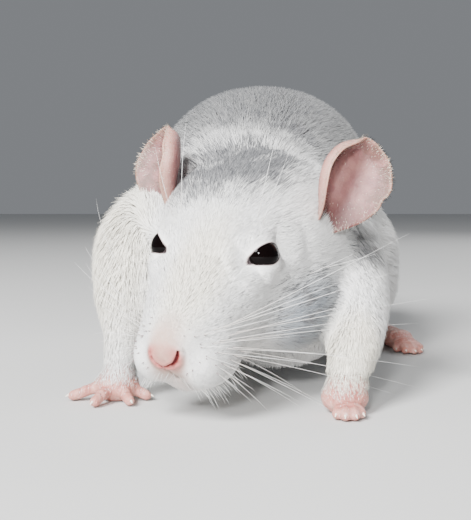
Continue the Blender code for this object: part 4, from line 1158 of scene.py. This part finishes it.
for name, digits in toes.items():
    paw = fused(name + "_skin", [name], 0.0, 0.26 * MM, 2)
    paw_places, paw_faces = corners(paw.data), triangles(paw.data)
    paw_normals = normals_of(paw_places, paw_faces)
    crease = np.zeros(len(paw_places))
    tips, ways = [], []
    for palm, turn, reach, toe in digits:
        turn = math.radians(turn)
        ahead = np.array((-math.sin(turn), -math.cos(turn)))
        start = np.array(palm) + UNDER_NOSE[:2]
        local = paw_places[:, :2] / MM - start
        t = (local @ ahead) / reach
        off = np.abs(local @ np.array((-ahead[1], ahead[0])))
        on = (1.0 - step(off, toe * 1.0, toe * 1.3)) * (t > 0.25) * (paw_normals[:, 2] > -0.2)
        for knuckle in KNUCKLES:
            crease = np.maximum(crease, on * bell((t - knuckle) * reach, CREASE_WIDTH))
        tips.append((*(start + ahead * (reach - 0.35)), toe * 0.95 + 0.35))
        ways.append((*ahead, 0.1))
    paw_places -= paw_normals * (CREASE_DEPTH * crease)[:, None]
    top = paw_places[:, 2].max()
    risen = step(paw_places[:, 2], top - WRIST_BAND, top)
    centre = paw_places[paw_places[:, 2] > top - WRIST_TOP].mean(0)
    paw_places[:, :2] += (centre[:2] - paw_places[:, :2]) * (WRIST_DRAWN_IN * risen)[:, None]
    paw_places[:, 2] += risen * WRIST_RISE
    paw_places[:, 2] = np.maximum(paw_places[:, 2], 0.0)
    move_corners(paw.data, paw_places)
    keep_values(paw.data, knuckle=crease)
    paw.data.shade_smooth()
    paw.data.materials.append(paw_skin)
    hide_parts(name)
    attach(paw, "root")

    paw_normals = normals_of(paw_places, paw_faces)
    draw = np.random.default_rng(90 + len(name) + len(digits))
    centres, face_up = paw_places[paw_faces].mean(1), unit(paw_normals[paw_faces].sum(1))
    chance = step(centres[:, 2], 2.5 * MM, 7.5 * MM) ** 1.5 * (face_up[:, 2] > -0.3)
    chance = (chance + 0.03 * (face_up[:, 2] > 0.3)) * np.linalg.norm(facings(paw_places, paw_faces), axis=1)
    picked = draw.choice(len(centres), PAW_HAIRS, p=chance / chance.sum())
    roots, up = centres[picked], face_up[picked]
    turn = math.radians(np.mean([turn for _, turn, _, _ in digits]))
    down = np.array((-0.8 * math.sin(turn), -0.8 * math.cos(turn), -0.6))
    down = down + draw.normal(0.0, 0.15, (PAW_HAIRS, 3))
    lie = unit(down - (down * up).sum(1)[:, None] * up)
    length = (0.7 + 0.9 * step(roots[:, 2], 3.0 * MM, 8.0 * MM)) * draw.uniform(0.7, 1.2, PAW_HAIRS) * MM
    hair_tips = roots + lie * length[:, None] + up * (0.22 * length)[:, None]
    fuzz = tuft_mesh(name + "_hairs", roots, up, np.cross(up, lie), hair_tips,
                     np.full(PAW_HAIRS, PAW_HAIR_WIDTH), legs_unwrap(roots), draw.random(PAW_HAIRS),
                     np.zeros(PAW_HAIRS))
    fuzz.data.materials.append(coat_hair)
    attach(fuzz, "root")

    tips, ways = np.array(tips) * MM, unit(np.array(ways))
    claws = hairs(name + "_claws", tips, ways, np.full(len(tips), CLAW_LENGTH),
                  np.full((len(tips), 3), CLAW_CURVE), CLAW_THICKNESS, 8, 8)
    claws.data.materials.append(claw_horn)
    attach(claws, "root")

# The tail: a long tapering cone of skin ringed with small scales, laid on the floor. A row
# has a place of the tail's middle, from the floor under the nose, and its radius there.
TAIL_ROWS = [(25.0, 136.0, 24.0, 6.8), (25.6, 146.0, 15.5, 5.7), (26.4, 157.0, 7.4, 4.9),
             (28.0, 171.0, 4.05, 4.3), (31.0, 198.0, 3.45, 3.7), (30.5, 226.0, 2.8, 3.05),
             (23.5, 256.0, 2.1, 2.35), (13.0, 282.0, 1.5, 1.75), (5.0, 303.0, 1.0, 1.25)]
TAIL_RING, TAIL_SIDES = 0.85, 24
RING_HEIGHT, RING_SLOPE, RING_FADE = 0.035, 0.85, 20.0
TAIL_PINK, TAIL_PALE, TAIL_SEAM = (0.72, 0.42, 0.35), (0.80, 0.54, 0.46), (0.50, 0.27, 0.24)


def smooth_rows(rows, steps):
    """Rows on a smooth curve through the given ones, which keeps each row's radius too."""
    rows = np.asarray(rows, float)
    ends = np.vstack([2 * rows[0] - rows[1], rows, 2 * rows[-1] - rows[-2]])
    out = []
    for i in range(len(rows) - 1):
        a, b, c, d = ends[i:i + 4]
        bend, twist = 2 * a - 5 * b + 4 * c - d, 3 * b - 3 * c + d - a
        for t in np.arange(steps) / steps:
            out.append(b + 0.5 * t * (c - a + t * (bend + t * twist)))
    out.append(rows[-1])
    return np.array(out)


def tube(name, path, radii, sides):
    """A closed tube along a path, as a mesh object."""
    along = unit(np.gradient(path, axis=0))
    across = np.cross(along[0], (0.0, 0.0, 1.0))
    points, wall = [], []
    turns = np.arange(sides) * 2 * math.pi / sides
    for centre, direction, radius in zip(path, along, radii):
        across = unit(across - across @ direction * direction)
        up = np.cross(direction, across)
        points.append(centre + radius * (np.outer(np.cos(turns), across) + np.outer(np.sin(turns), up)))
    count = len(path)
    for r in range(count - 1):
        for s in range(sides):
            t = (s + 1) % sides
            wall.append((r * sides + s, r * sides + t, (r + 1) * sides + t, (r + 1) * sides + s))
    wall.append(tuple(reversed(range(sides))))
    wall.append(tuple((count - 1) * sides + s for s in range(sides)))
    mesh = bpy.data.meshes.new(name)
    mesh.from_pydata(np.vstack(points).tolist(), [], wall)
    return new_piece(name, mesh)


rows = smooth_rows(TAIL_ROWS, 40)
gone = np.concatenate([[0.0], np.cumsum(np.linalg.norm(np.diff(rows[:, :3], axis=0), axis=1))])
stops = np.arange(0.0, gone[-1], TAIL_RING / 4)
rows = np.column_stack([np.interp(stops, gone, rows[:, k]) for k in range(4)])
phase = (stops / TAIL_RING) % 1.0
ridge = np.where(phase < RING_SLOPE, phase / RING_SLOPE, (1.0 - phase) / (1.0 - RING_SLOPE))
relief = RING_HEIGHT * ridge * np.clip(stops / RING_FADE, 0, 1)
tail = tube("tail_skin", (rows[:, :3] + UNDER_NOSE) * MM, (rows[:, 3] - 0.06 + relief) * MM, TAIL_SIDES)
flat = corners(tail.data)
flat[:, 2] = np.maximum(flat[:, 2], 0.0)
move_corners(tail.data, flat)
tail.data.shade_smooth()

tail_skin, link = material("tail_skin", Roughness=0.55, Subsurface_Weight=0.1, Subsurface_Scale=0.0015)
place = link.place()
colour = place.noise(180.0, 3.0).rise(0.3, 0.7).mix(TAIL_PINK, TAIL_PALE)
scales = place.cells(1300.0)
colour = ((1.0 - scales.rise(0.0, 0.12)) * 0.3).mix(colour, TAIL_SEAM)
wear(tail_skin, Base_Color=colour, Normal=scales.rise(0.0, 0.25).bump(0.5, 0.0002))
tail.data.materials.append(tail_skin)
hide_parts("tail_1", "tail_2", "tail_3")
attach(tail, "root")
